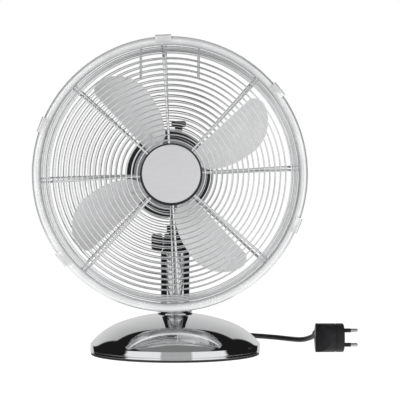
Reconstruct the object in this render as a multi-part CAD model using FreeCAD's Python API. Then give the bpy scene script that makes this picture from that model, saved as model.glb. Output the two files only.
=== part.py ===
import FreeCAD, Part
import math
import os

# Desk fan with a round wire cage, an oscillating and tilting head, and a domed chrome base.
# Millimetres. Origin: underside centre of the base, on the axis of the stem. +Z is up.
# The head faces -Y, so that +X is on the right of someone who looks at the front of the fan.
# Pieces of the head are drawn about the shaft as +Z, with "front" as distance forward of the
# stem's axis, and are then laid down by on_head().

Vector = FreeCAD.Vector
ORIGIN = Vector(0, 0, 0)
X_AXIS = Vector(1, 0, 0)
Y_AXIS = Vector(0, 1, 0)
Z_AXIS = Vector(0, 0, 1)

# ---- general clearances
running_gap = 0.05        # radial play of a shaft in its bearing
seat_gap = 0.3            # gap between separate curved pieces
weld = 0.2                # depth of a spot weld between wires

# ---- overall sizes
base_r = 111.0
cage_r = 175.0
cage_lift = 60.0          # lowest point of the cage above the desk
head_z = cage_r + cage_lift

# ---- base
dome_top = 53.6
shoulder_r = base_r - 40.0
shoulder_z = 41.5
band_top = 13.5
band_bottom = 3.0
cover_t = 1.2
foot_lip = 9.0            # radial width of the rubber foot ring
plate_t = 1.5
ballast_r = base_r - 27.0
ballast_t = 10.5
ballast_hub_r = 20.0
switch_r = shoulder_r + 9.0   # distance of the speed switch from the axis
switch_side = 24.0
switch_depth = 14.0
switch_bush_r = 5.0
switch_shaft_r = 3.0
speed_knob_r = 13.0
speed_knob_h = 13.0

# ---- stem and tilt joint
stem_r = 19.0
stem_t = 1.5
foot_flare = 4.0
foot_flare_h = 11.0
rod_r = 4.0
clevis_cap_t = 4.0
hinge_z = head_z - 89.0
stem_top = hinge_z - 13.0
ear_r = 11.0
ear_in = 8.5              # half gap between the ears
ear_out = 14.0
lug_r = 8.5
bolt_r = 3.0
tilt_knob_r = 11.5
tilt_knob_l = 14.0
tilt_washer_t = 2.7

# ---- neck
socket_r = 11.0
socket_bottom = hinge_z + 12.5
neck_top = socket_bottom + 9.0
post_r = 5.0
bush_t = 1.5
bush_flange_t = 1.0
anchor_x = post_r + bush_t + 6.0   # pivot of the oscillation link on the neck
anchor_pin_r = 2.5

# ---- head: shaft place and motor
head_x = -8.0
shaft_r = 4.0
motor_r = 46.0
bell_t = 3.0
bell_front = 25.0
bell_disc_t = 4.0
stator_front = 12.0
stator_back = -8.0
bell_back = -21.0
rotor_r = 20.0
air_gap = 0.3
bore_bush_r = 7.0
snout_r = 14.0
snout_front = 38.0
cover_r = motor_r + bell_t + 8.0
cover_front = 24.0
cover_straight_end = -30.0
cover_back = -76.0
cover_side_r = 30.0        # rounding from the cover's side into its end
motor_screw_ring = motor_r - 3.0
motor_screw_r = 2.0

# ---- oscillation gears
gear_module = 0.6
wheel_teeth = 36
pinion_teeth = 9
crank_teeth = 36
worm_r = 3.2
worm_core_r = 2.5
worm_shaft_r = 1.6
worm_length = 16.0
spindle_y = 47.0
spindle_r = 2.5
crank_shaft_r = 3.0
crank_throw = 8.0
crank_disc_r = 11.5
case_wall = 2.0
case_bottom = head_z - 33.0
case_top = head_z + 27.0
lid_t = 2.0
link_z = neck_top + 0.7
link_t = 2.0
link_half_w = 3.0
knob_z = head_z + cover_r
knob_cap_r = 10.0
knob_cap_h = 8.0
knob_travel = 6.0

# ---- cage
rim_w = 11.5              # radial width of the smooth rim band
rim_front = 75.75
rim_back = 60.0
rim_t = 1.2
rear_rim_r = 4.0
ring_wire_r = 1.1
spoke_wire_r = 1.6
spoke_count = 8
front_roll = 3.6          # turn of the front spokes about the shaft, degrees
rear_roll = 1.9
ring_pitch = 6.78         # between rings of the domed faces
side_pitch = 5.5          # between rings of the side walls
dome_rings = 16
front_side_rings = 5
rear_side_rings = 4
front_apex = 116.5        # where the ring wires' dome would meet the shaft's axis
front_corner = (cage_r - 25.0, 100.0)
rear_apex = -25.2
rear_corner = (cage_r - 18.0, -37.0)
bowl_round = 8.0          # rounding between side wall and domed face
brace_x = 37.0            # the two short wires beside the rear grille's top spoke
brace_drop = 38.0
badge_r = 38.7
badge_face_r = 35.7
badge_front = 119.0
badge_back = 110.8
rear_plate_r = 46.0
rear_plate_t = 2.2
guard_nut_r = 24.0
guard_nut_l = 7.0
clip_angles = (93.0, 38.0, -22.0, 218.0, 159.0)
lock_angle = -82.0
clip_w = 20.0
clip_t = 1.4
clip_hook = 8.8
clip_pin_r = 1.2
clip_hinge_r = cage_r - 3.0
clip_hinge_front = 56.6

# ---- blades
blade_count = 4
blade_mid = 25.0          # direction of the first blade, degrees
blade_front = 56.0
blade_pitch = 24.0
blade_camber_r = 160.0
blade_t = 1.3
arm_t = 1.6
hub_r = 10.0
hub_back = 44.0
hub_front = 64.0
nut_r = 7.5
nut_l = 10.0

# ---- mains cord
cord_r = 3.5
coil_x = 15.5
coil_y = 178.0
coil_mean_r = 42.0
coil_layers = 3
gland_x = -30.0
gland_z = 12.0
gland_r = 6.0
relief_end = 135.0
plug_x = 186.0
plug_y = 8.0
plug_r = 19.0
plug_l = 36.5
plug_cord_x = 7.5         # the lead's place along the plug, from its closed end
plug_relief_l = 33.0
plug_relief_r = 7.1
plug_face_l = 18.6        # length of the plug's round part
pin_r = 2.4
pin_l = 19.0
pin_spacing = 19.0


# ======================================================================= helpers
def flat(point):
    return Vector(point[0], 0, point[1])


def outline(start, *steps):
    """Closed wire in the XZ plane. A step is an end point, or (mid point, end point) for an arc."""
    edges = []
    here = start
    for step in steps + (start,):
        if isinstance(step[0], tuple):
            mid, end = step
            edges.append(Part.Arc(flat(here), flat(mid), flat(end)).toShape())
            here = end
        elif math.dist(here, step) > 1e-6:
            edges.append(Part.LineSegment(flat(here), flat(step)).toShape())
            here = step
    return Part.Wire(edges)


def turned(start, *steps):
    solid = Part.Face(outline(start, *steps)).revolve(ORIGIN, Z_AXIS, 360)
    return solid if solid.Volume > 0 else solid.reversed()


def cap_mid(radius, rise):
    """A point half way along the arc of a round cap: its radius, and how far it is below the top."""
    cap_r = (radius ** 2 + rise ** 2) / (2 * rise)
    half = math.asin(radius / cap_r) / 2
    return cap_r * math.sin(half), cap_r * (1 - math.cos(half))


def rod(radius, start, end):
    start = Vector(*start)
    run = Vector(*end) - start
    return Part.makeCylinder(radius, run.Length, start, run)


def tube(outer, inner, start, end):
    return rod(outer, start, end).cut(rod(inner, start, end))


def block(low, high):
    return Part.makeBox(high[0] - low[0], high[1] - low[1], high[2] - low[2], Vector(*low))


def group(shapes):
    return Part.makeCompound(list(shapes))


def spun(shape, angle):
    copy = shape.copy()
    copy.rotate(ORIGIN, Z_AXIS, angle)
    return copy


def on_head(shape):
    """Lays a shape drawn about +Z down on the shaft's axis, front towards -Y."""
    copy = shape.copy()
    copy.rotate(ORIGIN, X_AXIS, 90)
    copy.translate(Vector(head_x, 0, head_z))
    return copy


def swept(path, radius):
    """Round wire along a path, drawn from the path's first point."""
    wire = Part.Wire(path)
    first = wire.Edges[0]
    start = first.valueAt(first.FirstParameter)
    section = Part.Wire([Part.makeCircle(radius, start, first.tangentAt(first.FirstParameter))])
    return wire.makePipeShell([section], True, True)


# ======================================================================= base
def crown_arc():
    """Radius and centre height of the dome's crown, which is level on the axis."""
    rise = dome_top - shoulder_z
    radius = (shoulder_r ** 2 + rise ** 2) / (2 * rise)
    return radius, dome_top - radius


def shoulder_arc():
    """Radius and centre of the arc that runs on from the crown to the band."""
    crown_r, crown_z = crown_arc()
    inward = (-shoulder_r / crown_r, (crown_z - shoulder_z) / crown_r)
    back = (shoulder_r - base_r, shoulder_z - band_top)
    radius = -(back[0] ** 2 + back[1] ** 2) / (2 * (inward[0] * back[0] + inward[1] * back[1]))
    return radius, shoulder_r + inward[0] * radius, shoulder_z + inward[1] * radius


def dome_solid(inset, bottom):
    """The solid dome, with its skin moved inwards by inset."""
    crown_r, crown_z = crown_arc()
    side_r, side_x, side_z = shoulder_arc()
    crown_r -= inset
    lean = math.asin(shoulder_r / (crown_r + inset))
    edge_x = base_r - inset
    edge_z = side_z + math.sqrt((side_r - inset) ** 2 - (edge_x - side_x) ** 2)
    edge_lean = math.asin((edge_x - side_x) / (side_r - inset))
    half = (lean + edge_lean) / 2
    side_r -= inset
    crown_mid = (crown_r * math.sin(lean / 2), crown_z + crown_r * math.cos(lean / 2))
    joint = (crown_r * math.sin(lean), crown_z + crown_r * math.cos(lean))
    side_mid = (side_x + side_r * math.sin(half), side_z + side_r * math.cos(half))
    return turned((0, bottom), (edge_x, bottom), (edge_x, edge_z), (side_mid, joint),
                  (crown_mid, (0, dome_top - inset)))


def slope_angle():
    """Lean of the dome's surface where the speed switch sits, degrees from level."""
    side_r, side_x, side_z = shoulder_arc()
    return math.degrees(math.asin((switch_r - side_x) / side_r))


def on_slope(shape):
    """Puts a shape drawn about +Z, with the skin's outside at z = 0, on the rear slope."""
    side_r, side_x, side_z = shoulder_arc()
    lean = math.radians(slope_angle())
    copy = shape.copy()
    copy.rotate(ORIGIN, X_AXIS, -slope_angle())
    copy.translate(Vector(0, switch_r, side_z + side_r * math.cos(lean)))
    return copy


def gland_wall_y():
    """Where the band's outside is, behind the axis, at the inner edge of the gland's flange."""
    return math.sqrt(base_r ** 2 - (abs(gland_x) - gland_r - 2) ** 2)


def base_cover():
    groove = turned((base_r - 0.5, band_bottom + 2.2), (base_r + 1, band_bottom + 2.2),
                    (base_r + 1, band_bottom + 3.0), (base_r - 0.5, band_bottom + 3.0))
    shell = dome_solid(0, band_bottom).cut(dome_solid(cover_t, band_bottom))
    shell = shell.cut(rod(rod_r + 1, (0, 0, dome_top - 10), (0, 0, dome_top + 5)))
    shell = shell.cut(on_slope(rod(switch_bush_r, (0, 0, -8), (0, 0, 8))))
    shell = shell.cut(rod(gland_r, (gland_x, base_r - 30, gland_z), (gland_x, base_r + 5, gland_z)))
    return shell.cut(groove)


def rubber_foot_ring():
    outer = base_r - 0.8
    inner_wall = base_r - cover_t
    return turned((outer - foot_lip, 0), (outer, 0), (outer, band_bottom), (inner_wall, band_bottom),
                  (inner_wall, band_bottom + 3), (inner_wall - 2.5, band_bottom + 3),
                  (inner_wall - 2.5, band_bottom), (outer - foot_lip, band_bottom))


def bottom_plate():
    edge = base_r - cover_t - 2.5
    plate = rod(edge, (0, 0, band_bottom), (0, 0, band_bottom + plate_t))
    for x, y in bottom_screw_places():
        plate = plate.cut(rod(2.1, (x, y, 0), (x, y, band_bottom + plate_t)))
    return plate


def bottom_screw_places():
    reach = ballast_r - 12
    return [(reach, 0), (0, reach), (-reach, 0), (0, -reach)]


def bottom_screws():
    screws = []
    for x, y in bottom_screw_places():
        head = rod(4.0, (x, y, band_bottom - 2.2), (x, y, band_bottom))
        shank = rod(2.0, (x, y, band_bottom), (x, y, band_bottom + plate_t + 8))
        screws.append(head.fuse(shank))
    return group(screws)


def ballast_weight():
    low = band_bottom + plate_t
    disc = rod(ballast_r, (0, 0, low), (0, 0, low + ballast_t))
    hub = rod(ballast_hub_r, (0, 0, low), (0, 0, dome_top))
    weight = disc.fuse(hub.common(dome_solid(cover_t, band_bottom)))
    weight = weight.cut(rod(rod_r + 0.3, (0, 0, 0), (0, 0, dome_top)))
    weight = weight.cut(rod(8.5, (0, 0, low), (0, 0, low + 7)))
    for x, y in bottom_screw_places():
        weight = weight.cut(rod(2.0, (x, y, low), (x, y, low + 8)))
    return weight


def run_capacitor():
    low = band_bottom + plate_t + ballast_t
    body = block((32, -19, low), (46, 19, low + 17))
    return body.makeFillet(2, [e for e in body.Edges if abs(e.Vertexes[0].Z - e.Vertexes[1].Z) > 1])


def speed_switch():
    half = switch_side / 2
    face = -cover_t - seat_gap - switch_side ** 2 / (4 * shoulder_arc()[0])
    body = block((-half, -half, face - switch_depth), (half, half, face))
    bush = rod(switch_bush_r, (0, 0, face), (0, 0, 2.5))
    nut = tube(8, switch_bush_r, (0, 0, seat_gap), (0, 0, 2.0))
    shaft = rod(switch_shaft_r, (0, 0, 2.5), (0, 0, 12))
    return on_slope(body.fuse([bush, nut, shaft]))


def speed_knob():
    low = 3.0
    top = low + speed_knob_h
    body = turned((0, low), (speed_knob_r, low), (speed_knob_r - 1.2, top - 1.5),
                  ((speed_knob_r - 1.7, top - 0.4), (speed_knob_r - 2.8, top)), (0, top))
    bore = rod(switch_shaft_r + running_gap, (0, 0, low), (0, 0, 12 + running_gap))
    grip = block((-1.5, -speed_knob_r + 2, top - 0.6), (1.5, -1, top + 0.6))
    hollow = tube(speed_knob_r - 2.5, 6, (0, 0, low), (0, 0, low + 7))
    return on_slope(body.fuse(grip).cut(bore).cut(hollow))


# ======================================================================= stem and tilt joint
def stem_tube():
    low = dome_top - 8
    flare_top = dome_top + foot_flare_h
    outer = turned((0, low), (stem_r + foot_flare + 1, low), (stem_r + foot_flare, dome_top),
                   ((stem_r + 0.9, dome_top + foot_flare_h * 0.35), (stem_r, flare_top)),
                   (stem_r, stem_top), (0, stem_top))
    inner = rod(stem_r - stem_t, (0, 0, low), (0, 0, stem_top))
    crown_r, crown_z = crown_arc()
    return outer.cut(inner).cut(Part.makeSphere(crown_r, Vector(0, 0, crown_z)))


def stem_tie_rod():
    """The threaded rod that holds clevis, stem, cover and ballast together, with its nut."""
    low = band_bottom + plate_t + 2.0
    nut = Part.Face(Part.makePolygon(hexagon(7.5, low))).extrude(Vector(0, 0, 5))
    nut = nut.cut(rod(rod_r, (0, 0, low), (0, 0, low + 5)))
    return group([rod(rod_r, (0, 0, low - 0.5), (0, 0, stem_top - 2)), nut])


def hexagon(radius, z):
    corners = [Vector(radius * math.cos(math.radians(60 * k)),
                      radius * math.sin(math.radians(60 * k)), z) for k in range(7)]
    return corners


def clevis_head():
    cap_r = ear_out + tilt_washer_t
    cap = rod(cap_r, (0, 0, stem_top), (0, 0, stem_top + clevis_cap_t))
    plug = rod(stem_r - stem_t, (0, 0, stem_top - 9), (0, 0, stem_top))
    head = cap.fuse(plug)
    for side in (-1, 1):
        x = side * (ear_in + ear_out) / 2 - (ear_out - ear_in) / 2
        ear = Part.makeCylinder(ear_r, ear_out - ear_in, Vector(x, 0, hinge_z), X_AXIS)
        foot = block((x, -ear_r, stem_top + 1), (x + ear_out - ear_in, ear_r, hinge_z))
        head = head.fuse([ear, foot])
    head = head.cut(rod(bolt_r, (-ear_out, 0, hinge_z), (ear_out, 0, hinge_z)))
    return head.cut(rod(rod_r, (0, 0, stem_top - 9), (0, 0, stem_top - 2))).removeSplitter()


def tilt_bolt():
    shank = rod(bolt_r, (-ear_out - tilt_knob_l - 1, 0, hinge_z), (ear_out, 0, hinge_z))
    washer = rod(7, (-ear_out - tilt_washer_t, 0, hinge_z), (-ear_out, 0, hinge_z))
    head = rod(6, (ear_out, 0, hinge_z), (ear_out + 4, 0, hinge_z))
    return shank.fuse([washer, head])


def tilt_knob():
    back = ear_out + tilt_washer_t + seat_gap
    front = back + tilt_knob_l
    body = turned((0, back), (tilt_knob_r - 2, back), ((tilt_knob_r - 0.6, back + 0.6), (tilt_knob_r, back + 2)),
                  (tilt_knob_r, front - 4), ((tilt_knob_r - 1.2, front - 1.2), (tilt_knob_r - 4, front)),
                  (0, front))
    for k in range(10):
        body = body.cut(spun(rod(1.1, (tilt_knob_r + 0.4, 0, back), (tilt_knob_r + 0.4, 0, front)), 36 * k))
    body = body.cut(rod(bolt_r + running_gap, (0, 0, back - 1), (0, 0, ear_out + tilt_knob_l + 1 + seat_gap)))
    body.rotate(ORIGIN, Y_AXIS, -90)
    body.translate(Vector(0, 0, hinge_z))
    return body


# ======================================================================= neck
def neck():
    half = ear_in - seat_gap
    lug = Part.makeCylinder(lug_r, 2 * half, Vector(-half, 0, hinge_z), X_AXIS)
    web = block((-half, -lug_r, hinge_z), (half, lug_r, socket_bottom + 1))
    socket = rod(socket_r, (0, 0, socket_bottom), (0, 0, neck_top))
    arm = block((0, -5, neck_top - 6), (anchor_x, 5, neck_top - 1))
    eye = rod(5, (anchor_x, 0, neck_top - 6), (anchor_x, 0, neck_top - 1))
    step = rod(4, (anchor_x, 0, neck_top - 1), (anchor_x, 0, link_z - 0.2))
    pin = rod(anchor_pin_r, (anchor_x, 0, link_z - 0.2), (anchor_x, 0, link_z + link_t + 0.2))
    cap = rod(4, (anchor_x, 0, link_z + link_t + 0.2), (anchor_x, 0, link_z + link_t + 1.2))
    body = lug.fuse([web, socket, arm, eye, step, pin, cap])
    body = body.cut(rod(bolt_r + running_gap, (-half, 0, hinge_z), (half, 0, hinge_z)))
    bore_r = post_r + running_gap + bush_t
    return body.cut(rod(bore_r, (0, 0, hinge_z + 5.5), (0, 0, neck_top))).removeSplitter()


def swivel_bush():
    low = hinge_z + 5.5
    inner = post_r + running_gap
    sleeve = tube(inner + bush_t, inner, (0, 0, low), (0, 0, neck_top))
    return sleeve.fuse(tube(inner + bush_t + 0.4, inner, (0, 0, neck_top), (0, 0, neck_top + bush_flange_t)))


def swivel_post():
    collar_r = post_r + bush_t + 0.4
    collar_z = neck_top + bush_flange_t + running_gap
    post = rod(post_r, (0, 0, hinge_z + 6), (0, 0, collar_z))
    collar = rod(collar_r, (0, 0, collar_z), (0, 0, head_z - motor_r))
    pad = block((head_x - 18, -14, head_z - cover_r), (head_x + 18, 16, head_z - motor_r + 6))
    inside = on_head(rod(cover_r - cover_t - seat_gap, (0, 0, -40), (0, 0, 40)))
    motor = on_head(rod(motor_r + bell_t, (0, 0, -40), (0, 0, 40)))
    return post.fuse([collar, pad.common(inside)]).cut(motor)


# ======================================================================= motor
def screw_ring(make):
    return [spun(make, 90 * k) for k in range(4)]


def motor_screws():
    """Four long screws through both bells, and the one that holds the rear cover."""
    start = (motor_screw_ring, 0, bell_back - 3)
    seat = (motor_screw_ring, 0, bell_back)
    end = (motor_screw_ring, 0, bell_front - bell_disc_t)
    screw = rod(3.5, start, seat).fuse(rod(motor_screw_r, seat, end))
    cover_head = rod(4, (0, 0, cover_back - 2.4), (0, 0, cover_back))
    cover_screw = cover_head.fuse(rod(2, (0, 0, cover_back), (0, 0, cover_back + 10)))
    return on_head(group(screw_ring(screw) + [cover_screw]))


def screw_holes(back, front):
    return screw_ring(rod(motor_screw_r + 0.1, (motor_screw_ring, 0, back), (motor_screw_ring, 0, front)))


def motor_front_bell():
    disc_back = bell_front - bell_disc_t
    split = (stator_front + stator_back) / 2
    disc = rod(cover_r - cover_t, (0, 0, disc_back), (0, 0, bell_front))
    wall = tube(motor_r + bell_t, motor_r, (0, 0, split), (0, 0, disc_back))
    snout = rod(snout_r, (0, 0, bell_front), (0, 0, snout_front))
    body = disc.fuse([wall, snout])
    body = body.cut(rod(bore_bush_r, (0, 0, bell_front + 1), (0, 0, snout_front)))
    return on_head(body.cut(rod(shaft_r + 0.5, (0, 0, disc_back), (0, 0, snout_front))))


def motor_rear_bell():
    disc_front = bell_back + bell_t
    split = (stator_front + stator_back) / 2
    disc = rod(motor_r + bell_t, (0, 0, bell_back), (0, 0, disc_front))
    wall = tube(motor_r + bell_t, motor_r, (0, 0, disc_front), (0, 0, split))
    boss = rod(bore_bush_r + 2.5, (0, 0, disc_front), (0, 0, bell_back + 8))
    body = disc.fuse([wall, boss])
    body = body.cut(rod(bore_bush_r, (0, 0, bell_back), (0, 0, bell_back + 8)))
    return on_head(body.cut(group(screw_holes(bell_back, disc_front))))


def shaft_bushes():
    inner = shaft_r + running_gap
    front = tube(bore_bush_r, inner, (0, 0, bell_front + 1), (0, 0, snout_front))
    back = tube(bore_bush_r, inner, (0, 0, bell_back), (0, 0, bell_back + 8))
    return on_head(group([front, back]))


def stator_core():
    core = tube(motor_r, rotor_r + air_gap, (0, 0, stator_back), (0, 0, stator_front))
    slot = block((rotor_r - 1, -1.2, stator_back), (rotor_r + 4, 1.2, stator_front))
    pocket = rod(4.5, (rotor_r + 9, 0, stator_back), (rotor_r + 9, 0, stator_front))
    for k in range(8):
        core = core.cut(spun(slot.fuse(pocket), 45 * k + 22.5))
    return on_head(core.cut(group(screw_holes(stator_back, stator_front))))


def stator_windings():
    inner = rotor_r + 4.5
    outer = motor_screw_ring - motor_screw_r - 2
    coils = []
    for base, rise in ((stator_front, 6.0), (stator_back, -6.0)):
        middle = (inner + outer) / 2
        coils.append(turned((inner, base), (outer, base), (outer, base + rise * 0.6),
                            ((middle, base + rise), (inner, base + rise * 0.6))))
    return on_head(group(coils))


def rotor_core():
    return on_head(tube(rotor_r, shaft_r, (0, 0, stator_back), (0, 0, stator_front)))


def motor_shaft():
    thick_end = bell_back - 4
    thin_end = -(spindle_y + worm_length / 2)
    thick = rod(shaft_r, (0, 0, thick_end), (0, 0, hub_front + nut_l - 3))
    return on_head(thick.fuse(rod(worm_shaft_r, (0, 0, thin_end), (0, 0, thick_end))))


def bullet(inset, front):
    """The rear cover's solid shape, with its skin moved inwards: a tube, a rounded side, a round end."""
    tail = cover_straight_end - cover_back
    centre_x = cover_r - cover_side_r
    end_r = (centre_x ** 2 + tail ** 2 - cover_side_r ** 2) / (2 * (tail - cover_side_r))
    centre_z = cover_back + end_r
    lean = math.atan2(centre_x, centre_z - cover_straight_end)
    side_r = cover_side_r - inset
    end_r = end_r - inset
    side_lean = (lean + math.pi / 2) / 2
    side_mid = (centre_x + side_r * math.sin(side_lean), cover_straight_end - side_r * math.cos(side_lean))
    joint = (end_r * math.sin(lean), centre_z - end_r * math.cos(lean))
    end_mid = (end_r * math.sin(lean / 2), centre_z - end_r * math.cos(lean / 2))
    radius = cover_r - inset
    return turned((0, front), (radius, front), (radius, cover_straight_end), (side_mid, joint),
                  (end_mid, (0, centre_z - end_r)))


def motor_rear_cover():
    shell = on_head(bullet(0, cover_front).cut(bullet(cover_t, cover_front)))
    slot_half = post_r + bush_t + 2.2
    slot = block((-slot_half, -cover_front - 6, head_z - cover_r - 2),
                 (anchor_x + crank_shaft_r + 3, crank_y() + crank_shaft_r + 4, head_z - cover_r + 18))
    shell = shell.cut(slot)
    shell = shell.cut(rod(spindle_r + 1.5, (spindle_x(), spindle_y, head_z), (spindle_x(), spindle_y, knob_z)))
    vent = block((-1.2, 0, cover_straight_end - 4), (1.2, cover_r + 5, cover_straight_end + 12))
    for turn in (90, 270):
        for side in range(-3, 4):
            shell = shell.cut(on_head(spun(vent, turn + side * 8)))
    return shell.cut(on_head(rod(2.1, (0, 0, cover_back - 2), (0, 0, cover_back + 4))))


# ======================================================================= oscillation gearing
def wheel_r():
    return gear_module * wheel_teeth / 2


def spindle_x():
    return head_x + worm_r + wheel_r()


def gear_distance():
    return gear_module * (pinion_teeth + crank_teeth) / 2


def crank_y():
    """The crank stands straight behind the link's anchor, in mesh with the spindle's pinion."""
    return spindle_y - math.sqrt(gear_distance() ** 2 - (anchor_x - spindle_x()) ** 2)


def mesh_angle():
    return math.degrees(math.atan2(crank_y() - spindle_y, anchor_x - spindle_x()))


def gear(teeth, turn, low, high):
    """Spur gear about +Z with straight-sided teeth, thinned for free running."""
    pitch_r = gear_module * teeth / 2
    root_r = pitch_r - 1.2 * gear_module
    tip_r = pitch_r + 0.9 * gear_module
    corners = []
    for k in range(teeth):
        middle = 2 * math.pi * k / teeth
        for radius, half in ((root_r, 0.75), (tip_r, 0.25), (tip_r, -0.25), (root_r, -0.75)):
            angle = middle - half * gear_module / radius
            corners.append(Vector(radius * math.cos(angle), radius * math.sin(angle), low))
    face = Part.Face(Part.makePolygon(corners + corners[:1]))
    return spun(face.extrude(Vector(0, 0, high - low)), turn)


def worm():
    pitch = math.pi * gear_module
    turns = int(worm_length / pitch / 2)
    start = -turns * pitch
    helix = Part.Wire(Part.makeHelix(pitch, 2 * turns * pitch, worm_core_r).Edges)
    tip_r = worm_r + 0.9 * gear_module
    inner = worm_core_r - 0.2
    thread = Part.makePolygon([Vector(inner, 0, -0.42), Vector(tip_r, 0, -0.16), Vector(tip_r, 0, 0.16),
                               Vector(inner, 0, 0.42), Vector(inner, 0, -0.42)])
    spiral = helix.makePipeShell([thread], True, True)
    spiral.translate(Vector(0, 0, start))
    core = rod(worm_core_r, (0, 0, -worm_length / 2), (0, 0, worm_length / 2))
    body = core.fuse(spiral).cut(rod(worm_shaft_r, (0, 0, -worm_length), (0, 0, worm_length)))
    body.translate(Vector(0, 0, -spindle_y))
    return on_head(body)


def worm_wheel():
    wheel = gear(wheel_teeth, 180 / wheel_teeth, head_z - 1.5, head_z + 1.5)
    hub = rod(6, (0, 0, head_z - 5), (0, 0, head_z + 5))
    wheel = wheel.fuse(hub).cut(rod(spindle_r, (0, 0, head_z - 5), (0, 0, head_z + 5)))
    wheel.translate(Vector(spindle_x(), spindle_y, 0))
    return wheel


def gear_spindle():
    low = case_bottom + case_wall
    pinion = gear(pinion_teeth, mesh_angle(), low + 2, low + 7)
    stub = rod(1.7, (0, 0, case_bottom), (0, 0, low + 2))
    shaft = rod(spindle_r, (0, 0, low + 7), (0, 0, knob_z + 8.5))
    spindle = pinion.fuse([stub, shaft])
    spindle.translate(Vector(spindle_x(), spindle_y, 0))
    return spindle


def crank_gear():
    low = case_bottom + case_wall + 2.5
    wheel = gear(crank_teeth, mesh_angle() + 180 + 180 / crank_teeth, low, low + 3)
    body = wheel.fuse(rod(crank_shaft_r, (0, 0, link_z + link_t + 6), (0, 0, low + 5)))
    body.translate(Vector(anchor_x, crank_y(), 0))
    return body


def crank_disc():
    low = link_z + link_t + 3
    disc = rod(crank_disc_r, (0, 0, low), (0, 0, low + 3))
    boss = rod(5, (0, 0, low + 3), (0, 0, low + 7))
    pin = rod(2.4, (crank_throw, 0, link_z + link_t + 0.4), (crank_throw, 0, low))
    body = disc.fuse([boss, pin]).cut(rod(crank_shaft_r, (0, 0, low + 3), (0, 0, low + 7)))
    body.translate(Vector(anchor_x, crank_y(), 0))
    return body


def crank_link():
    length = math.hypot(crank_throw, crank_y())
    end_y = length
    bar = block((-link_half_w, 0, link_z), (link_half_w, end_y, link_z + link_t))
    eye = rod(5, (0, 0, link_z), (0, 0, link_z + link_t))
    far_eye = rod(4.5, (0, end_y, link_z), (0, end_y, link_z + link_t))
    link = bar.fuse([eye, far_eye])
    link = link.cut(rod(anchor_pin_r + running_gap, (0, 0, link_z), (0, 0, link_z + link_t)))
    link = link.cut(rod(2.6, (0, end_y, link_z), (0, end_y, link_z + link_t)))
    link = spun(link.removeSplitter(), -math.degrees(math.atan2(crank_throw, crank_y())))
    link.translate(Vector(anchor_x, 0, 0))
    return link


def case_outline(inset, low, high):
    """The gearbox's plan, cut to stay inside the rounded rear cover."""
    front = -bell_back + inset
    back = spindle_y + wheel_r() + 5 - inset
    side = wheel_r() + 5 - inset
    plan = block((head_x - 14 + inset, front, low), (anchor_x + side, back, high))
    return plan.common(on_head(bullet(3 + inset, 0)))


def gearbox_case():
    case = case_outline(0, case_bottom, case_top)
    case = case.cut(case_outline(case_wall, case_bottom + case_wall, case_top))
    boss = tube(crank_shaft_r + 3, crank_shaft_r, (anchor_x, crank_y(), case_bottom - 8),
                (anchor_x, crank_y(), case_bottom))
    tail = on_head(rod(4, (0, 0, cover_back + cover_t + 1.5), (0, 0, -(spindle_y + wheel_r() + 4))))
    case = case.fuse([boss, tail])
    bores = [rod(crank_shaft_r + running_gap, (anchor_x, crank_y(), case_bottom - 9),
                 (anchor_x, crank_y(), case_bottom + case_wall)),
             rod(1.7 + running_gap, (spindle_x(), spindle_y, case_bottom - 1),
                 (spindle_x(), spindle_y, case_bottom + case_wall)),
             on_head(rod(shaft_r + 0.5, (0, 0, bell_back - case_wall - 1), (0, 0, bell_back + 1))),
             on_head(rod(2, (0, 0, cover_back), (0, 0, cover_back + 10)))]
    return case.cut(group(bores))


def gearbox_lid():
    lid = case_outline(0, case_top, case_top + lid_t)
    bore = rod(spindle_r + running_gap, (spindle_x(), spindle_y, case_top), (spindle_x(), spindle_y, knob_z))
    return lid.cut(bore)


def oscillation_knob():
    cap_low = knob_z + 6
    cap_top = cap_low + knob_cap_h
    body = turned((0, knob_z), (5, knob_z), (5, cap_low), (knob_cap_r, cap_low), (knob_cap_r, cap_top - 3),
                  ((knob_cap_r - 0.9, cap_top - 0.9), (knob_cap_r - 3, cap_top)), (0, cap_top))
    body = body.cut(rod(spindle_r + running_gap, (0, 0, knob_z), (0, 0, knob_z + 8.5 + seat_gap)))
    body.translate(Vector(spindle_x(), spindle_y, 0))
    return body


# ======================================================================= cage
def rim_middle():
    return cage_r - rim_w / 2


def bowl(rim_point, corner, apex, sign):
    """Half outline of a grille: a straight side, a rounded corner and a shallow dome.

    The points are (radius, distance outwards along the axis); sign turns outwards into front."""
    rise = apex - corner[1]
    dome_r = (corner[0] ** 2 + rise ** 2) / (2 * rise)
    run = math.dist(rim_point, corner)
    along = ((corner[0] - rim_point[0]) / run, (corner[1] - rim_point[1]) / run)
    inward = (-along[1], along[0])
    from_centre = (rim_point[0] + inward[0] * bowl_round,
                   rim_point[1] + inward[1] * bowl_round - (apex - dome_r))
    dot = from_centre[0] * along[0] + from_centre[1] * along[1]
    square = from_centre[0] ** 2 + from_centre[1] ** 2
    reach = -dot + math.sqrt(dot ** 2 - square + (dome_r - bowl_round) ** 2)
    return {"rim": rim_point, "along": along, "inward": inward, "reach": reach,
            "dome_r": dome_r, "dome_centre": apex - dome_r, "sign": sign}


def front_bowl():
    return bowl((cage_r - rim_w + 1.1, rim_front - rim_w / 2), front_corner, front_apex, 1)


def rear_bowl():
    return bowl((cage_r - 6.5, -rim_back - 2), rear_corner, rear_apex, -1)


def side_point(shape, distance, inset):
    radius = shape["rim"][0] + shape["along"][0] * distance + shape["inward"][0] * inset
    return radius, shape["rim"][1] + shape["along"][1] * distance + shape["inward"][1] * inset


def dome_point(shape, radius, inset):
    height = math.sqrt((shape["dome_r"] - inset) ** 2 - radius ** 2)
    return radius, shape["dome_centre"] + height


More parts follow.
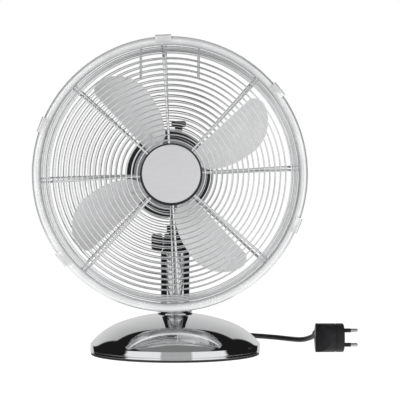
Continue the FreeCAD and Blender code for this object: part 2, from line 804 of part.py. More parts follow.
def grille_rings(shape, side_count):
    centres = [side_point(shape, side_pitch * (k + 1.35), 0) for k in range(side_count)]
    outer = front_corner[0] - 5.8 if shape["sign"] > 0 else rear_corner[0] - 7
    centres += [dome_point(shape, outer - ring_pitch * k, 0) for k in range(dome_rings)]
    return on_head(group(Part.makeTorus(radius, ring_wire_r, Vector(0, 0, shape["sign"] * out))
                         for radius, out in centres))


def spoke_path(shape, inner_r):
    """The centre line of a spoke, which lies against the inner side of the rings."""
    inset = ring_wire_r + spoke_wire_r - weld
    centre = side_point(shape, shape["reach"], bowl_round)
    lean = math.atan2(centre[0], centre[1] - shape["dome_centre"])
    side_lean = math.atan2(-shape["inward"][0], -shape["inward"][1])
    radius = bowl_round - inset
    middle = (lean + side_lean) / 2
    start = side_point(shape, 0, inset)
    bend_start = side_point(shape, shape["reach"], inset)
    bend_mid = (centre[0] + radius * math.sin(middle), centre[1] + radius * math.cos(middle))
    bend_end = (centre[0] + radius * math.sin(lean), centre[1] + radius * math.cos(lean))
    dome_mid = dome_point(shape, (bend_end[0] + inner_r) / 2, inset)
    end = dome_point(shape, inner_r, inset)
    points = [flat((p[0], p[1] * shape["sign"])) for p in (start, bend_start, bend_mid, bend_end, dome_mid, end)]
    return [Part.LineSegment(points[0], points[1]).toShape(),
            Part.Arc(points[1], points[2], points[3]).toShape(),
            Part.Arc(points[3], points[4], points[5]).toShape()]


def grille_spokes(shape, inner_r, roll):
    spoke = swept(spoke_path(shape, inner_r), spoke_wire_r)
    return [spun(spoke, 90 + roll + 360 * k / spoke_count) for k in range(spoke_count)]


def front_guard_rings():
    return grille_rings(front_bowl(), front_side_rings)


def front_guard_spokes():
    return on_head(group(grille_spokes(front_bowl(), badge_r - weld, front_roll)))


def rear_guard_rings():
    return grille_rings(rear_bowl(), rear_side_rings)


def rear_guard_spokes():
    return on_head(group(grille_spokes(rear_bowl(), rear_plate_r - 5, rear_roll) + rear_braces()))


def rear_braces():
    """Two short upright wires welded inside the rear grille, either side of the top spoke."""
    shape = rear_bowl()
    inset = ring_wire_r + spoke_wire_r - weld
    rim = side_point(shape, 0, inset)
    bend = side_point(shape, shape["reach"], inset)
    low = dome_point(shape, rim[0] - brace_drop, inset)
    corners = []
    for radius, out in (rim, bend, low):
        corners.append(Vector(brace_x, math.sqrt(radius ** 2 - brace_x ** 2), -out))
    side = rod(spoke_wire_r, corners[0], corners[1])
    down = rod(spoke_wire_r, corners[1], corners[2])
    brace = side.fuse([down, Part.makeSphere(spoke_wire_r, corners[1])])
    return [brace, brace.mirror(ORIGIN, X_AXIS)]


def front_guard_band():
    half = rim_w / 2
    middle = rim_middle()
    centre = rim_front - half
    band = turned((middle - half, centre - 3), (middle - half, centre),
                  ((middle, rim_front), (middle + half, centre)), (cage_r, rim_back),
                  (cage_r - rim_t, rim_back), (cage_r - rim_t, centre),
                  ((middle, rim_front - rim_t), (middle - half + rim_t, centre)),
                  (middle - half + rim_t, centre - 3))
    hole = spun(rod(2.1, (cage_r - 4, 0, rear_rim_front()), (cage_r + 2, 0, rear_rim_front())), lock_angle)
    return on_head(band.cut(hole))


def rear_rim_front():
    return rim_back + rear_rim_r + 0.5


def guard_lock_screw():
    head = rod(3.2, (cage_r, 0, rear_rim_front()), (cage_r + 2.6, 0, rear_rim_front()))
    shank = rod(2.0, (rim_middle() + rear_rim_r, 0, rear_rim_front()), (cage_r, 0, rear_rim_front()))
    return on_head(spun(head.fuse(shank), lock_angle))


def rear_guard_rim():
    wire = Part.makeTorus(rim_middle(), rear_rim_r, Vector(0, 0, rear_rim_front()))
    lug_y = clip_w / 2 + 2
    parts = []
    for angle in clip_angles:
        pin = rod(clip_pin_r, (clip_hinge_r, -lug_y, clip_hinge_front), (clip_hinge_r, lug_y, clip_hinge_front))
        for side in (-lug_y, lug_y):
            foot = (rim_middle() - 0.5, side, rear_rim_front())
            pin = pin.fuse(rod(1.8, (clip_hinge_r, side, clip_hinge_front), foot))
            pin = pin.fuse(Part.makeSphere(1.8, Vector(clip_hinge_r, side, clip_hinge_front)))
        parts.append(spun(pin, angle))
    return on_head(wire.fuse(parts))


def guard_clip(angle):
    """Spring clip: an eye round its pin, a plate outside the rim and a hook over the front."""
    low_y = -clip_w / 2
    high_y = clip_w / 2
    eye_r = clip_pin_r + running_gap + clip_t - 0.15
    low = clip_hinge_front - eye_r
    plate = cage_r + seat_gap + 0.1
    hook = rim_front + 0.8
    eye = rod(eye_r, (clip_hinge_r, low_y, clip_hinge_front), (clip_hinge_r, high_y, clip_hinge_front))
    arm = block((clip_hinge_r, low_y, low), (plate + clip_t, high_y, low + clip_t))
    side = block((plate, low_y, low), (plate + clip_t, high_y, hook + clip_t))
    over = block((plate + clip_t - clip_hook, low_y, hook), (plate + clip_t, high_y, hook + clip_t))
    clip = eye.fuse([arm, side, over])
    bore = rod(clip_pin_r + running_gap, (clip_hinge_r, low_y, clip_hinge_front),
               (clip_hinge_r, high_y, clip_hinge_front))
    return on_head(spun(clip.cut(bore).removeSplitter(), angle))


def rear_guard_plate():
    return on_head(tube(rear_plate_r, snout_r, (0, 0, bell_front), (0, 0, bell_front + rear_plate_t)))


def rear_guard_nut():
    low = bell_front + rear_plate_t
    body = tube(guard_nut_r, snout_r, (0, 0, low), (0, 0, low + guard_nut_l))
    for k in range(12):
        notch = rod(2, (guard_nut_r + 0.8, 0, low), (guard_nut_r + 0.8, 0, low + guard_nut_l))
        body = body.cut(spun(notch, 30 * k))
    return on_head(body)


def badge_cup():
    edge = badge_front - 1.2
    cup = turned((0, badge_back), (badge_r - 1, badge_back), (badge_r, badge_back + 1), (badge_r, edge - 1.6),
                 ((badge_r - 0.7, edge - 0.4), (badge_face_r + 1, edge)), (badge_face_r + 0.1, edge),
                 (badge_face_r + 0.1, edge - 1), (0, edge - 1))
    return on_head(cup)


def badge_plate():
    low = badge_front - 2.2
    mid_r, drop = cap_mid(badge_face_r, 1.3)
    return on_head(turned((0, low), (badge_face_r, low), (badge_face_r, badge_front - 1.3),
                          ((mid_r, badge_front - drop), (0, badge_front))))


# ======================================================================= blades
def sheet(front_r, back_r, plan):
    """Part of a curved, pitched sheet that lies inside a plan, with its mid line along +X."""
    length = 400.0
    low = Vector(-length / 2, 0, blade_camber_r)
    tube_wall = Part.makeCylinder(back_r, length, low, X_AXIS).cut(
        Part.makeCylinder(front_r, length, low, X_AXIS))
    tube_wall.rotate(ORIGIN, X_AXIS, blade_pitch)
    tube_wall.translate(Vector(0, 0, blade_front))
    return tube_wall.common(plan)


def polar(radius, angle):
    return Vector(radius * math.cos(math.radians(angle)), radius * math.sin(math.radians(angle)), 20)


def blade_plan():
    edges = [Part.LineSegment(polar(36, 19), polar(138, 18.5)).toShape(),
             Part.Arc(polar(138, 18.5), polar(146.6, 15.3), polar(148.3, 11)).toShape(),
             Part.Arc(polar(148.3, 11), polar(134.5, -1.5), polar(105, -11)).toShape(),
             Part.Arc(polar(105, -11), polar(78, -16.5), polar(50, -18.5)).toShape(),
             Part.LineSegment(polar(50, -18.5), polar(38, -9)).toShape(),
             Part.LineSegment(polar(38, -9), polar(36, 19)).toShape()]
    return Part.Face(Part.Wire(edges)).extrude(Vector(0, 0, 80))


def rivet_places():
    return [(43.0, -1.0), (43.0, 7.0), (54.0, 3.0)]


def fan_blades():
    blade = sheet(blade_camber_r, blade_camber_r + blade_t, blade_plan())
    for x, y in rivet_places():
        blade = blade.cut(rod(2.0, (x, y, 20), (x, y, 90)))
    return on_head(group(spun(blade, blade_mid + 360 * k / blade_count) for k in range(blade_count)))


def blade_spider():
    corner = 6.0
    plan = block((hub_r - 3, -corner - 3, 20), (61, corner + 6, 90))
    plan = plan.makeFillet(corner, [e for e in plan.Edges if e.Length > 60 and e.Vertexes[0].X > 60])
    arm = sheet(blade_camber_r + blade_t, blade_camber_r + blade_t + arm_t, plan)
    for x, y in rivet_places():
        arm = arm.cut(rod(2.0, (x, y, 20), (x, y, 90)))
    hub = rod(hub_r, (0, 0, hub_back), (0, 0, hub_front))
    hub = hub.fuse([spun(arm, blade_mid + 360 * k / blade_count) for k in range(blade_count)])
    hub = hub.cut(rod(shaft_r, (0, 0, hub_back), (0, 0, hub_front)))
    return on_head(hub.cut(rod(2.0, (0, 0, hub_back + 4), (hub_r, 0, hub_back + 4))))


def blade_rivets():
    """Rivets with flat heads on both sides, square to the pitched sheet."""
    rivets = []
    for x, y in rivet_places():
        drop = math.sqrt(blade_camber_r ** 2 - y ** 2) - blade_camber_r
        middle = blade_front + y * math.tan(math.radians(blade_pitch)) - drop
        shank = rod(2.0, (x, y, middle - 6), (x, y, middle + 4))
        layers = sheet(blade_camber_r, blade_camber_r + blade_t + arm_t, shank)
        front = sheet(blade_camber_r - 1, blade_camber_r, rod(3.6, (x, y, middle - 6), (x, y, middle + 6)))
        back_r = blade_camber_r + blade_t + arm_t
        back = sheet(back_r, back_r + 1, rod(3.6, (x, y, middle - 12), (x, y, middle + 6)))
        rivets.append(layers.fuse([front, back]))
    return on_head(group(spun(rivet, blade_mid + 360 * k / blade_count)
                         for k in range(blade_count) for rivet in rivets))


def hub_fasteners():
    """The grub screw in the blades' hub and the domed nut on the end of the shaft."""
    grub = rod(2.0, (shaft_r, 0, hub_back + 4), (hub_r - 0.5, 0, hub_back + 4))
    low = hub_front
    nut = Part.Face(Part.makePolygon(hexagon(nut_r, low))).extrude(Vector(0, 0, nut_l - 4))
    mid_r, drop = cap_mid(nut_r - 1.2, 4)
    cap = turned((0, low + nut_l - 4), (nut_r - 1.2, low + nut_l - 4),
                 ((mid_r, low + nut_l - drop), (0, low + nut_l)))
    nut = nut.fuse(cap).cut(rod(shaft_r, (0, 0, low), (0, 0, low + nut_l - 3)))
    return on_head(group([grub, nut]))


# ======================================================================= mains cord
run_points = [(-30.0, 135.0, 12.0), (-30.0, 145.0, 11.0), (-29.9, 156.0, 7.2), (-29.9, 167.0, 4.4)]
end_points = [(15.5, 223.5, 17.5), (38.0, 224.0, 16.4), (61.0, 221.0, 10.5), (84.0, 213.5, 5.0),
              (107.0, 202.0, 3.6), (129.0, 187.0, 3.6), (149.0, 168.0, 3.6), (166.0, 146.0, 3.6),
              (179.0, 122.0, 4.6), (188.0, 99.0, 9.6), (192.6, 78.0, 15.8), (193.5, 60.0, 19.0)]


def cord_tube(name, points):
    """Straight runs joined by tangent arcs, each as large as its two runs allow."""
    points = [Vector(*point) for point in points]
    edges = []
    here = points[0]
    length = 0.0
    tightest = 1e9
    for before, corner, after in zip(points, points[1:], points[2:]):
        back = (before - corner).normalize()
        ahead = (after - corner).normalize()
        half_turn = (math.pi - back.getAngle(ahead)) / 2
        trim = 0.45 * min((before - corner).Length, (after - corner).Length)
        radius = trim / math.tan(half_turn)
        tightest = min(tightest, radius)
        first = corner + back * trim
        last = corner + ahead * trim
        bisector = (back + ahead).normalize()
        middle = corner + bisector * (radius / math.cos(half_turn) - radius)
        edges.append(Part.LineSegment(here, first).toShape())
        edges.append(Part.Arc(first, middle, last).toShape())
        length += (first - here).Length + 2 * half_turn * radius
        here = last
        print(name, "bend radius", round(radius, 1))
    edges.append(Part.LineSegment(here, points[-1]).toShape())
    length += (points[-1] - here).Length
    shape = swept(edges, cord_r)
    share = shape.Volume / (math.pi * cord_r ** 2 * length)
    print(name, "length", round(length, 1), "tightest", round(tightest, 1), "volume share", round(share, 4))
    return shape


def cable_gland():
    wall = gland_wall_y()
    flange = wall + 0.1
    body = turned((0, wall - 12), (gland_r, wall - 12), (gland_r, flange), (gland_r + 2, flange),
                  (gland_r + 2, flange + 2), (gland_r + 0.5, flange + 3), (cord_r + 1, relief_end),
                  (0, relief_end))
    body.rotate(ORIGIN, X_AXIS, -90)
    body.translate(Vector(gland_x, 0, gland_z))
    return body


def mains_cord_coil():
    high = 2 * cord_r * coil_layers
    width = 2 * cord_r
    coil = tube(coil_mean_r + width, coil_mean_r - width, (coil_x, coil_y, 0), (coil_x, coil_y, high))
    return coil.makeFillet(cord_r * 0.8, [e for e in coil.Edges if len(e.Vertexes) == 1])


def mains_plug():
    """Angled plug lying on its side: pins along +X, lead leaving towards +Y."""
    front = plug_x + plug_l
    face = plug_x + plug_l - plug_face_l
    axis_low = (plug_x, plug_y, plug_r)
    round_part = rod(plug_r, (face, plug_y, plug_r), (front, plug_y, plug_r))
    corners = [Vector(face, plug_y - plug_r, 0), Vector(plug_x + 0.8, plug_y - 1.8, 0), Vector(plug_x, plug_y, 0),
               Vector(plug_x, plug_y + plug_r, 0), Vector(face, plug_y + plug_r, 0)]
    hood = Part.Face(Part.makePolygon(corners + corners[:1])).extrude(Vector(0, 0, 2 * plug_r))
    hood = hood.common(rod(plug_r, axis_low, (front, plug_y, plug_r)))
    start = plug_y + 8
    end = plug_y + plug_r + plug_relief_l
    relief = turned((0, start), (plug_relief_r, start), (plug_relief_r, end - 3.5), (cord_r + 1.4, end), (0, end))
    for k in range(5):
        low = end - 7 - 4.0 * k
        relief = relief.cut(turned((plug_relief_r - 1.2, low), (plug_relief_r + 1, low),
                                   (plug_relief_r + 1, low + 1.6), (plug_relief_r - 1.2, low + 1.6)))
    relief.rotate(ORIGIN, X_AXIS, -90)
    relief.translate(Vector(plug_x + plug_cord_x, 0, plug_r))
    body = round_part.fuse([hood, relief])
    for z in pin_heights():
        body = body.cut(rod(pin_r, (front - 6, plug_y, z), (front, plug_y, z)))
    return body


def pin_heights():
    return plug_r - pin_spacing / 2, plug_r + pin_spacing / 2


def plug_pins():
    front = plug_x + plug_l
    pins = []
    for z in pin_heights():
        pin = rod(pin_r, (front - 6, plug_y, z), (front + pin_l, plug_y, z))
        tip = [e for e in pin.Edges if len(e.Vertexes) == 1 and e.Vertexes[0].X > front + 1]
        pins.append(pin.makeFillet(1.6, tip))
    return group(pins)


# ======================================================================= the nodes
NODES = {
    "base_cover": base_cover, "rubber_foot_ring": rubber_foot_ring, "bottom_plate": bottom_plate,
    "bottom_plate_screws": bottom_screws, "ballast_weight": ballast_weight,
    "run_capacitor": run_capacitor, "speed_switch": speed_switch, "speed_knob": speed_knob,
    "stem_tube": stem_tube, "stem_tie_rod": stem_tie_rod,
    "clevis_head": clevis_head, "tilt_bolt": tilt_bolt, "tilt_knob": tilt_knob,
    "tilt_neck": neck, "swivel_bush": swivel_bush, "swivel_post": swivel_post,
    "motor_front_bell": motor_front_bell, "motor_rear_bell": motor_rear_bell,
    "motor_screws": motor_screws, "stator_core": stator_core, "stator_windings": stator_windings,
    "shaft_bushes": shaft_bushes, "motor_rear_cover": motor_rear_cover,
    "rotor_core": rotor_core, "motor_shaft": motor_shaft, "worm": worm,
    "gearbox_case": gearbox_case, "gearbox_lid": gearbox_lid, "worm_wheel": worm_wheel,
    "gear_spindle": gear_spindle, "crank_gear": crank_gear, "crank_disc": crank_disc,
    "crank_link": crank_link, "oscillation_knob": oscillation_knob,
    "rear_guard_plate": rear_guard_plate, "rear_guard_nut": rear_guard_nut,
    "rear_guard_rings": rear_guard_rings, "rear_guard_spokes": rear_guard_spokes,
    "rear_guard_rim": rear_guard_rim, "front_guard_band": front_guard_band,
    "front_guard_rings": front_guard_rings, "front_guard_spokes": front_guard_spokes,
    "guard_lock_screw": guard_lock_screw, "badge_cup": badge_cup, "badge_plate": badge_plate,
    "fan_blades": fan_blades, "blade_spider": blade_spider, "blade_rivets": blade_rivets,
    "hub_fasteners": hub_fasteners,
    "cable_gland": cable_gland, "mains_cord_coil": mains_cord_coil,
    "mains_plug": mains_plug, "plug_pins": plug_pins,
}


def save(name, shape):
    shape.exportStep("parts/" + name + ".step")
    print(name, "solids", len(shape.Solids), "valid", shape.isValid(), "volume", round(shape.Volume))


def main():
    os.makedirs("parts", exist_ok=True)
    for name, make in NODES.items():
        save(name, make())
    for number, angle in enumerate(clip_angles, 1):
        save("guard_clip_" + str(number), guard_clip(angle))
    save("mains_cord_run", cord_tube("mains_cord_run", run_points))
    save("mains_cord_end", cord_tube("mains_cord_end", end_points))


main()
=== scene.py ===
from math import acos, asin, atan2, cos, degrees, dist, pi, radians, sin, sqrt, tan, tau

import bmesh
import bpy
from mathutils import Matrix, Vector


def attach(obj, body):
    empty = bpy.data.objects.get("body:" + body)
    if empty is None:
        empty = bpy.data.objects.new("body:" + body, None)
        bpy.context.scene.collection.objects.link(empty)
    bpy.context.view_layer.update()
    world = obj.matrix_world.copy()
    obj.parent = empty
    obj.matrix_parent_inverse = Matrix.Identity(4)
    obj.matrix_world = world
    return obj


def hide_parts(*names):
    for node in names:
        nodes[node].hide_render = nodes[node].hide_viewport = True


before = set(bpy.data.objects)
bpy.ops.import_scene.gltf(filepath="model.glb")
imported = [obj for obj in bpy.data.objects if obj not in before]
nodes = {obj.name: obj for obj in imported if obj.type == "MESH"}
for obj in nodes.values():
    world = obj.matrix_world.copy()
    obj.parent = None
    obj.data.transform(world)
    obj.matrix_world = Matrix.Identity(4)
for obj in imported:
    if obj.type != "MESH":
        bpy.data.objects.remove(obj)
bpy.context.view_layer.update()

# Chrome desk fan: smooth skins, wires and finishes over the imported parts.
# Shapes are drawn in millimetres, as in the part's source, and add_piece() brings them to metres.
# Pieces of the head are drawn about the shaft as +Z, front upwards, and laid down by HEAD.

MM = 0.001
crease_angle = 35.0

# ---- base and stem
base_r = 111.0
dome_top = 53.6
shoulder_r = 71.0
shoulder_z = 41.5
band_top = 13.5
band_bottom = 3.0
cover_t = 1.2
groove_rise = 2.2          # rolled line in the band: height, width and depth
groove_w = 0.8
groove_depth = 0.5
tie_hole_r = 5.0
foot_lip = 9.0
switch_r = 80.0
switch_hole_r = 5.0
speed_knob_r = 13.0
speed_knob_h = 13.0
speed_knob_low = 3.0
speed_positions = 4
speed_step = 45.0
stem_r = 19.0
stem_t = 1.5
stem_top = 133.0
foot_flare = 4.0
foot_flare_h = 11.0
foot_flare_power = 3.4     # how late the flare opens
clevis_cap_t = 4.0
clevis_plug_l = 9.0
hinge_z = 146.0
ear_r = 11.0
ear_in = 8.5
ear_out = 14.0
lug_r = 8.5
bolt_r = 3.0
tilt_knob_r = 11.5
tilt_knob_l = 14.0
tilt_washer_t = 2.7
seat_gap = 0.3

# ---- neck and head
socket_r = 11.0
socket_bore_r = 6.55
socket_bottom = 158.5
neck_top = 167.5
anchor_x = 12.5
anchor_arm_r = 5.0
head_x = -8.0
head_z = 235.0
cover_r = 57.0
cover_front = 24.0
cover_straight_end = -30.0
cover_back = -76.0
cover_side_r = 30.0
post_gap_low = (-8.7, -30.0, -2.0)     # opening for the post: x, y and height above the cover's underside
post_gap_high = (18.5, 42.2, 18.0)
vent_sides = (90.0, 270.0)
vent_pitch = 8.0
vent_w = 2.4
vent_back = -34.0
vent_front = -18.0
snout_r = 14.0
bell_front = 25.0
spindle_x = 6.0
spindle_y = 47.0
knob_z = 292.0
knob_cap_r = 10.0
knob_cap_h = 8.0

# ---- cage
cage_r = 175.0
rim_w = 11.5
rim_front = 75.75
rim_back = 60.0
rim_t = 1.2
rear_rim_r = 4.0
ring_wire_r = 0.8
spoke_wire_r = 1.6
spoke_count = 8
weld = 0.2
front_roll = 3.6
rear_roll = 1.9
ring_pitch = 6.78
side_pitch = 5.5
dome_rings = 16
front_side_rings = 5
rear_side_rings = 4
first_side_ring = 1.35     # distance of the first side ring from the rim, in pitches
front_ring_inset = 5.8     # how far the domed face's outermost ring is inside the corner
rear_ring_inset = 7.0
front_start_in = 1.1       # where the spokes start: depth in the front rim, distance inside the cage's
rear_start_in = 6.5        # edge and distance in front of the front rim's back
rear_start_up = 2.0
front_apex = 116.5         # middle and corner of each domed face, the rear one's heights mirrored
front_corner = (150.0, 100.0)
rear_apex = -25.2
rear_corner = (157.0, -37.0)
bowl_round = 8.0
brace_x = 37.0
brace_drop = 38.0
badge_r = 38.7
badge_disc_r = 36.7
badge_front = 119.0
badge_back = 110.8
badge_crown = 1.3
# the disc sits high so that a wider crescent of the cup's black, painted shade, shows below it
badge_rise = 0.9           # how far the disc sits above the middle of its cup
rear_plate_r = 46.0
rear_plate_t = 2.2
guard_nut_r = 24.0
guard_nut_l = 7.0
clip_angles = (93.0, 38.0, -22.0, 218.0, 159.0)
lock_angle = -82.0
clip_w = 20.0
clip_t = 1.4
clip_hook = 8.8
clip_pin_r = 1.2
clip_play = 0.05
clip_lug_r = 1.8
clip_hinge_r = 172.0
clip_hinge_front = 56.6

# ---- blades
blade_count = 4
blade_mid = 25.0
blade_front = 56.0
blade_pitch = 24.0
blade_camber_r = 160.0
blade_t = 1.3
blade_corners = ((36.0, 19.0), (138.0, 18.5), (148.3, 11.0),       # radius and angle, from the root's
                 (105.0, -11.0), (50.0, -18.5), (38.0, -9.0))      # leading corner round the tip
blade_bulges = ((146.6, 15.3), (134.5, -1.5), (78.0, -16.5))       # where the arcs between them pass
arm_t = 1.6
arm_end = 61.0
arm_low = -9.0
arm_high = 12.0
arm_corner_r = 6.0
hub_bore_r = 4.0
hub_r = 10.0
hub_back = 44.0
hub_front = 64.0
rivet_places = ((43.0, -1.0), (43.0, 7.0), (54.0, 3.0))

# ---- mains lead and plug
cord_r = 3.5
coil_x = 15.5
coil_y = 178.0
coil_mean_r = 42.0
coil_step = 22.5           # degrees between the drawn points
coil_changes = ((0, 1, 0), (270, 1, 0), (315, -1, 0), (580, -1, 0), (625, -1, 1),      # angle, outer or
                (890, -1, 1), (935, 1, 1), (1200, 1, 1), (1245, 1, 2), (1530, 1, 2))   # inner turn, layer
gland_x = -30.0
gland_z = 12.0
gland_r = 6.0
gland_ribs = 5
relief_end = 135.0
plug_x = 186.0
plug_y = 8.0
plug_r = 19.0
plug_l = 36.5
plug_cord_x = 7.5
plug_relief_l = 33.0
plug_relief_r = 7.1
plug_ribs = 5
plug_rib_pitch = 4.0
plug_face_l = 18.6
pin_r = 2.4
pin_l = 19.0
pin_spacing = 19.0
run_points = ((-30.0, 135.0, 12.0), (-30.0, 145.0, 11.0), (-29.9, 156.0, 7.2), (-29.9, 167.0, 4.4))
end_points = ((15.5, 223.5, 17.5), (38.0, 224.0, 16.4), (61.0, 221.0, 10.5), (84.0, 213.5, 5.0),
              (107.0, 202.0, 3.6), (129.0, 187.0, 3.6), (149.0, 168.0, 3.6), (166.0, 146.0, 3.6),
              (179.0, 122.0, 4.6), (188.0, 99.0, 9.6), (192.6, 78.0, 15.8), (193.5, 60.0, 19.0))

# ---- reflected room: brightness from, to, and where it starts and stops changing
# aside is how far a direction points to the side, climb its angle up from the back wall in radians
middle_edge = (1.0, 0.0, 0.5, 0.53)
wall_glow = (0.66, 0.46, 0.3, 0.8)
wall_top = (1.0, 0.0, 0.86, 0.9)
canopy_start = (0.0, 0.2, 1.3, 1.42)
canopy_end = (1.0, 0.0, 2.1, 2.3)
wing_glow = (0.42, 0.88, 0.33, 0.37)
wing_edge = (1.0, 0.0, 0.92, 0.95)
wing_top = (0.0, 1.0, 2.25, 2.5)
table_glow = (0.75, 0.0, -0.6, -0.3)
dark_room = 0.012

# ---- floor and camera, in metres and degrees
floor_half = 0.7
floor_glow = 0.97
fan_middle = (0, 0, 0.2)
camera_place = (-0.0596, -2.1995, 0.24)
camera_round = 2.4
camera_down = 1.01
camera_lens = 151.2

HEAD = Matrix.Translation((head_x, 0, head_z)) @ Matrix.Rotation(pi / 2, 4, "X")
# stands a flat plate up, with its thickness along X and its outline in Y and Z
SIDEWAYS = Matrix(((0, 0, 1, 0), (1, 0, 0, 0), (0, 1, 0, 0), (0, 0, 0, 1)))


# ======================================================================= shaping
def bend(centre, radius, start, end, steps):
    """Points (radius, height) on an arc; angles in degrees from the radius' direction."""
    turn = (end - start) / steps
    return [(centre[0] + radius * cos(radians(start + turn * k)),
             centre[1] + radius * sin(radians(start + turn * k))) for k in range(steps + 1)]


def lathe(points, steps=128):
    """Spins a closed half outline of (radius, height) points about +Z."""
    bm = bmesh.new()
    verts = [bm.verts.new((radius, 0, height)) for radius, height in points]
    edges = [bm.edges.new(pair) for pair in zip(verts, verts[1:] + verts[:1])]
    bmesh.ops.spin(bm, geom=verts + edges, cent=(0, 0, 0), axis=(0, 0, 1), angle=tau,
                   steps=steps, use_merge=True)
    return cleaned(bm)


def cleaned(bm):
    """Closes seams and poles, drops edges without faces, and turns every face outwards."""
    bmesh.ops.remove_doubles(bm, verts=bm.verts, dist=1e-4)
    bmesh.ops.dissolve_degenerate(bm, edges=bm.edges, dist=1e-5)
    bmesh.ops.delete(bm, geom=[edge for edge in bm.edges if not edge.link_faces], context="EDGES")
    bmesh.ops.recalc_face_normals(bm, faces=bm.faces)
    return bm


def soften(bm, size, segments=2, above=35):
    """Rounds every edge that is sharper than an angle."""
    edges = [e for e in bm.edges if len(e.link_faces) == 2 and e.calc_face_angle() > radians(above)]
    bmesh.ops.bevel(bm, geom=edges, offset=size, offset_type="OFFSET", segments=segments,
                    profile=0.5, affect="EDGES", clamp_overlap=True, material=-1)
    return bm


def moved(bm, matrix):
    """Puts a shape in its place."""
    bmesh.ops.transform(bm, matrix=matrix, verts=bm.verts)
    return bm


def joined(parts):
    """Several shapes as one, without merging them."""
    whole = bmesh.new()
    for part in parts:
        mesh = bpy.data.meshes.new("part")
        part.to_mesh(mesh)
        part.free()
        whole.from_mesh(mesh)
        bpy.data.meshes.remove(mesh)
    return whole


def fanned(bm, count, first=0.0):
    """Turns a shape about +Z and repeats it evenly round the axis."""
    moved(bm, Matrix.Rotation(radians(first), 4, "Z"))
    bmesh.ops.spin(bm, geom=bm.verts[:] + bm.edges[:] + bm.faces[:], cent=(0, 0, 0), axis=(0, 0, 1),
                   angle=tau * (count - 1) / count, steps=count - 1, use_duplicate=True)
    return bm


def rod(radius, start, end, segments=24, end_radius=None):
    """Round bar from one point to another."""
    bm = bmesh.new()
    start, end = Vector(start), Vector(end)
    way = end - start
    seat = Matrix.Translation((start + end) / 2) @ way.to_track_quat("Z", "Y").to_matrix().to_4x4()
    bmesh.ops.create_cone(bm, cap_ends=True, segments=segments, radius1=radius,
                          radius2=radius if end_radius is None else end_radius,
                          depth=way.length, matrix=seat)
    return bm


def block(low, high):
    """Box between two opposite corners."""
    bm = bmesh.new()
    low, high = Vector(low), Vector(high)
    bmesh.ops.create_cube(bm, size=1.0, matrix=Matrix.Translation((low + high) / 2)
                          @ Matrix.Diagonal((high - low).to_4d()))
    return bm


def plate(points, low, high):
    """Flat outline of (x, y) points, raised from low to high."""
    bm = bmesh.new()
    face = bm.faces.new([bm.verts.new((x, y, low)) for x, y in points])
    raised = bmesh.ops.extrude_face_region(bm, geom=[face])
    bmesh.ops.translate(bm, vec=(0, 0, high - low),
                        verts=[v for v in raised["geom"] if isinstance(v, bmesh.types.BMVert)])
    return cleaned(bm)


def hoop(radius, height, wire_r, segments=8, steps=120):
    """Closed ring of round wire about +Z."""
    bm = bmesh.new()
    seat = Matrix.Translation((radius, 0, height)) @ Matrix.Rotation(pi / 2, 4, "X")
    ring = bmesh.ops.create_circle(bm, cap_ends=False, radius=wire_r, segments=segments, matrix=seat)
    bmesh.ops.spin(bm, geom=ring["verts"] + bm.edges[:], cent=(0, 0, 0), axis=(0, 0, 1), angle=tau,
                   steps=steps, use_merge=True)
    bmesh.ops.recalc_face_normals(bm, faces=bm.faces)
    return bm


def wire_end(bm, radius, start, along, segments=10):
    """Capped circle from which a wire is drawn on; returns its edges."""
    seat = Matrix.Translation(start) @ along.to_track_quat("Z", "Y").to_matrix().to_4x4()
    ring = bmesh.ops.create_circle(bm, cap_ends=True, radius=radius, segments=segments, matrix=seat)
    return list({e for v in ring["verts"] for e in v.link_edges})


def wire_straight(bm, edges, step):
    """Draws a wire straight on; returns its new end."""
    drawn = bmesh.ops.extrude_edge_only(bm, edges=edges)["geom"]
    bmesh.ops.translate(bm, vec=step, verts=[v for v in drawn if isinstance(v, bmesh.types.BMVert)])
    return [e for e in drawn if isinstance(e, bmesh.types.BMEdge)]


def wire_bend(bm, edges, centre, axis, angle, steps):
    """Draws a wire on round a bend; returns its new end."""
    drawn = bmesh.ops.spin(bm, geom=edges, cent=centre, axis=axis, angle=angle, steps=steps)
    return [e for e in drawn["geom_last"] if isinstance(e, bmesh.types.BMEdge)]


def wire_close(bm, edges):
    """Caps the end of a wire."""
    bmesh.ops.contextual_create(bm, geom=edges)
    bmesh.ops.recalc_face_normals(bm, faces=bm.faces)


def laid_out(name, bm):
    """Turns a shape into an object of the scene."""
    mesh = bpy.data.meshes.new(name)
    bm.to_mesh(mesh)
    bm.free()
    item = bpy.data.objects.new(name, mesh)
    bpy.context.scene.collection.objects.link(item)
    return item


def cut_away(bm, cutters, operation="DIFFERENCE"):
    """Takes closed shapes out of a closed shape, or with INTERSECT keeps only what they share."""
    stock, cutter = laid_out("stock", bm), laid_out("cutter", joined(cutters))
    cut = stock.modifiers.new("cut", "BOOLEAN")
    cut.object, cut.operation, cut.solver = cutter, operation, "EXACT"
    left = bmesh.new()
    left.from_object(stock, bpy.context.evaluated_depsgraph_get())
    for item in (stock, cutter):
        mesh = item.data
        bpy.data.objects.remove(item)
        bpy.data.meshes.remove(mesh)
    bmesh.ops.remove_doubles(left, verts=left.verts, dist=1e-3)
    return left


def grooved(bm, groove, count):
    """Cuts a groove into a turned shape at even places round +Z."""
    return cut_away(bm, [fanned(groove, count)])


def ball(radius, centre, segments, rings):
    """Small sphere, for the knuckle where two wires meet."""
    bm = bmesh.new()
    bmesh.ops.create_uvsphere(bm, u_segments=segments, v_segments=rings, radius=radius,
                              matrix=Matrix.Translation(centre))
    return bm


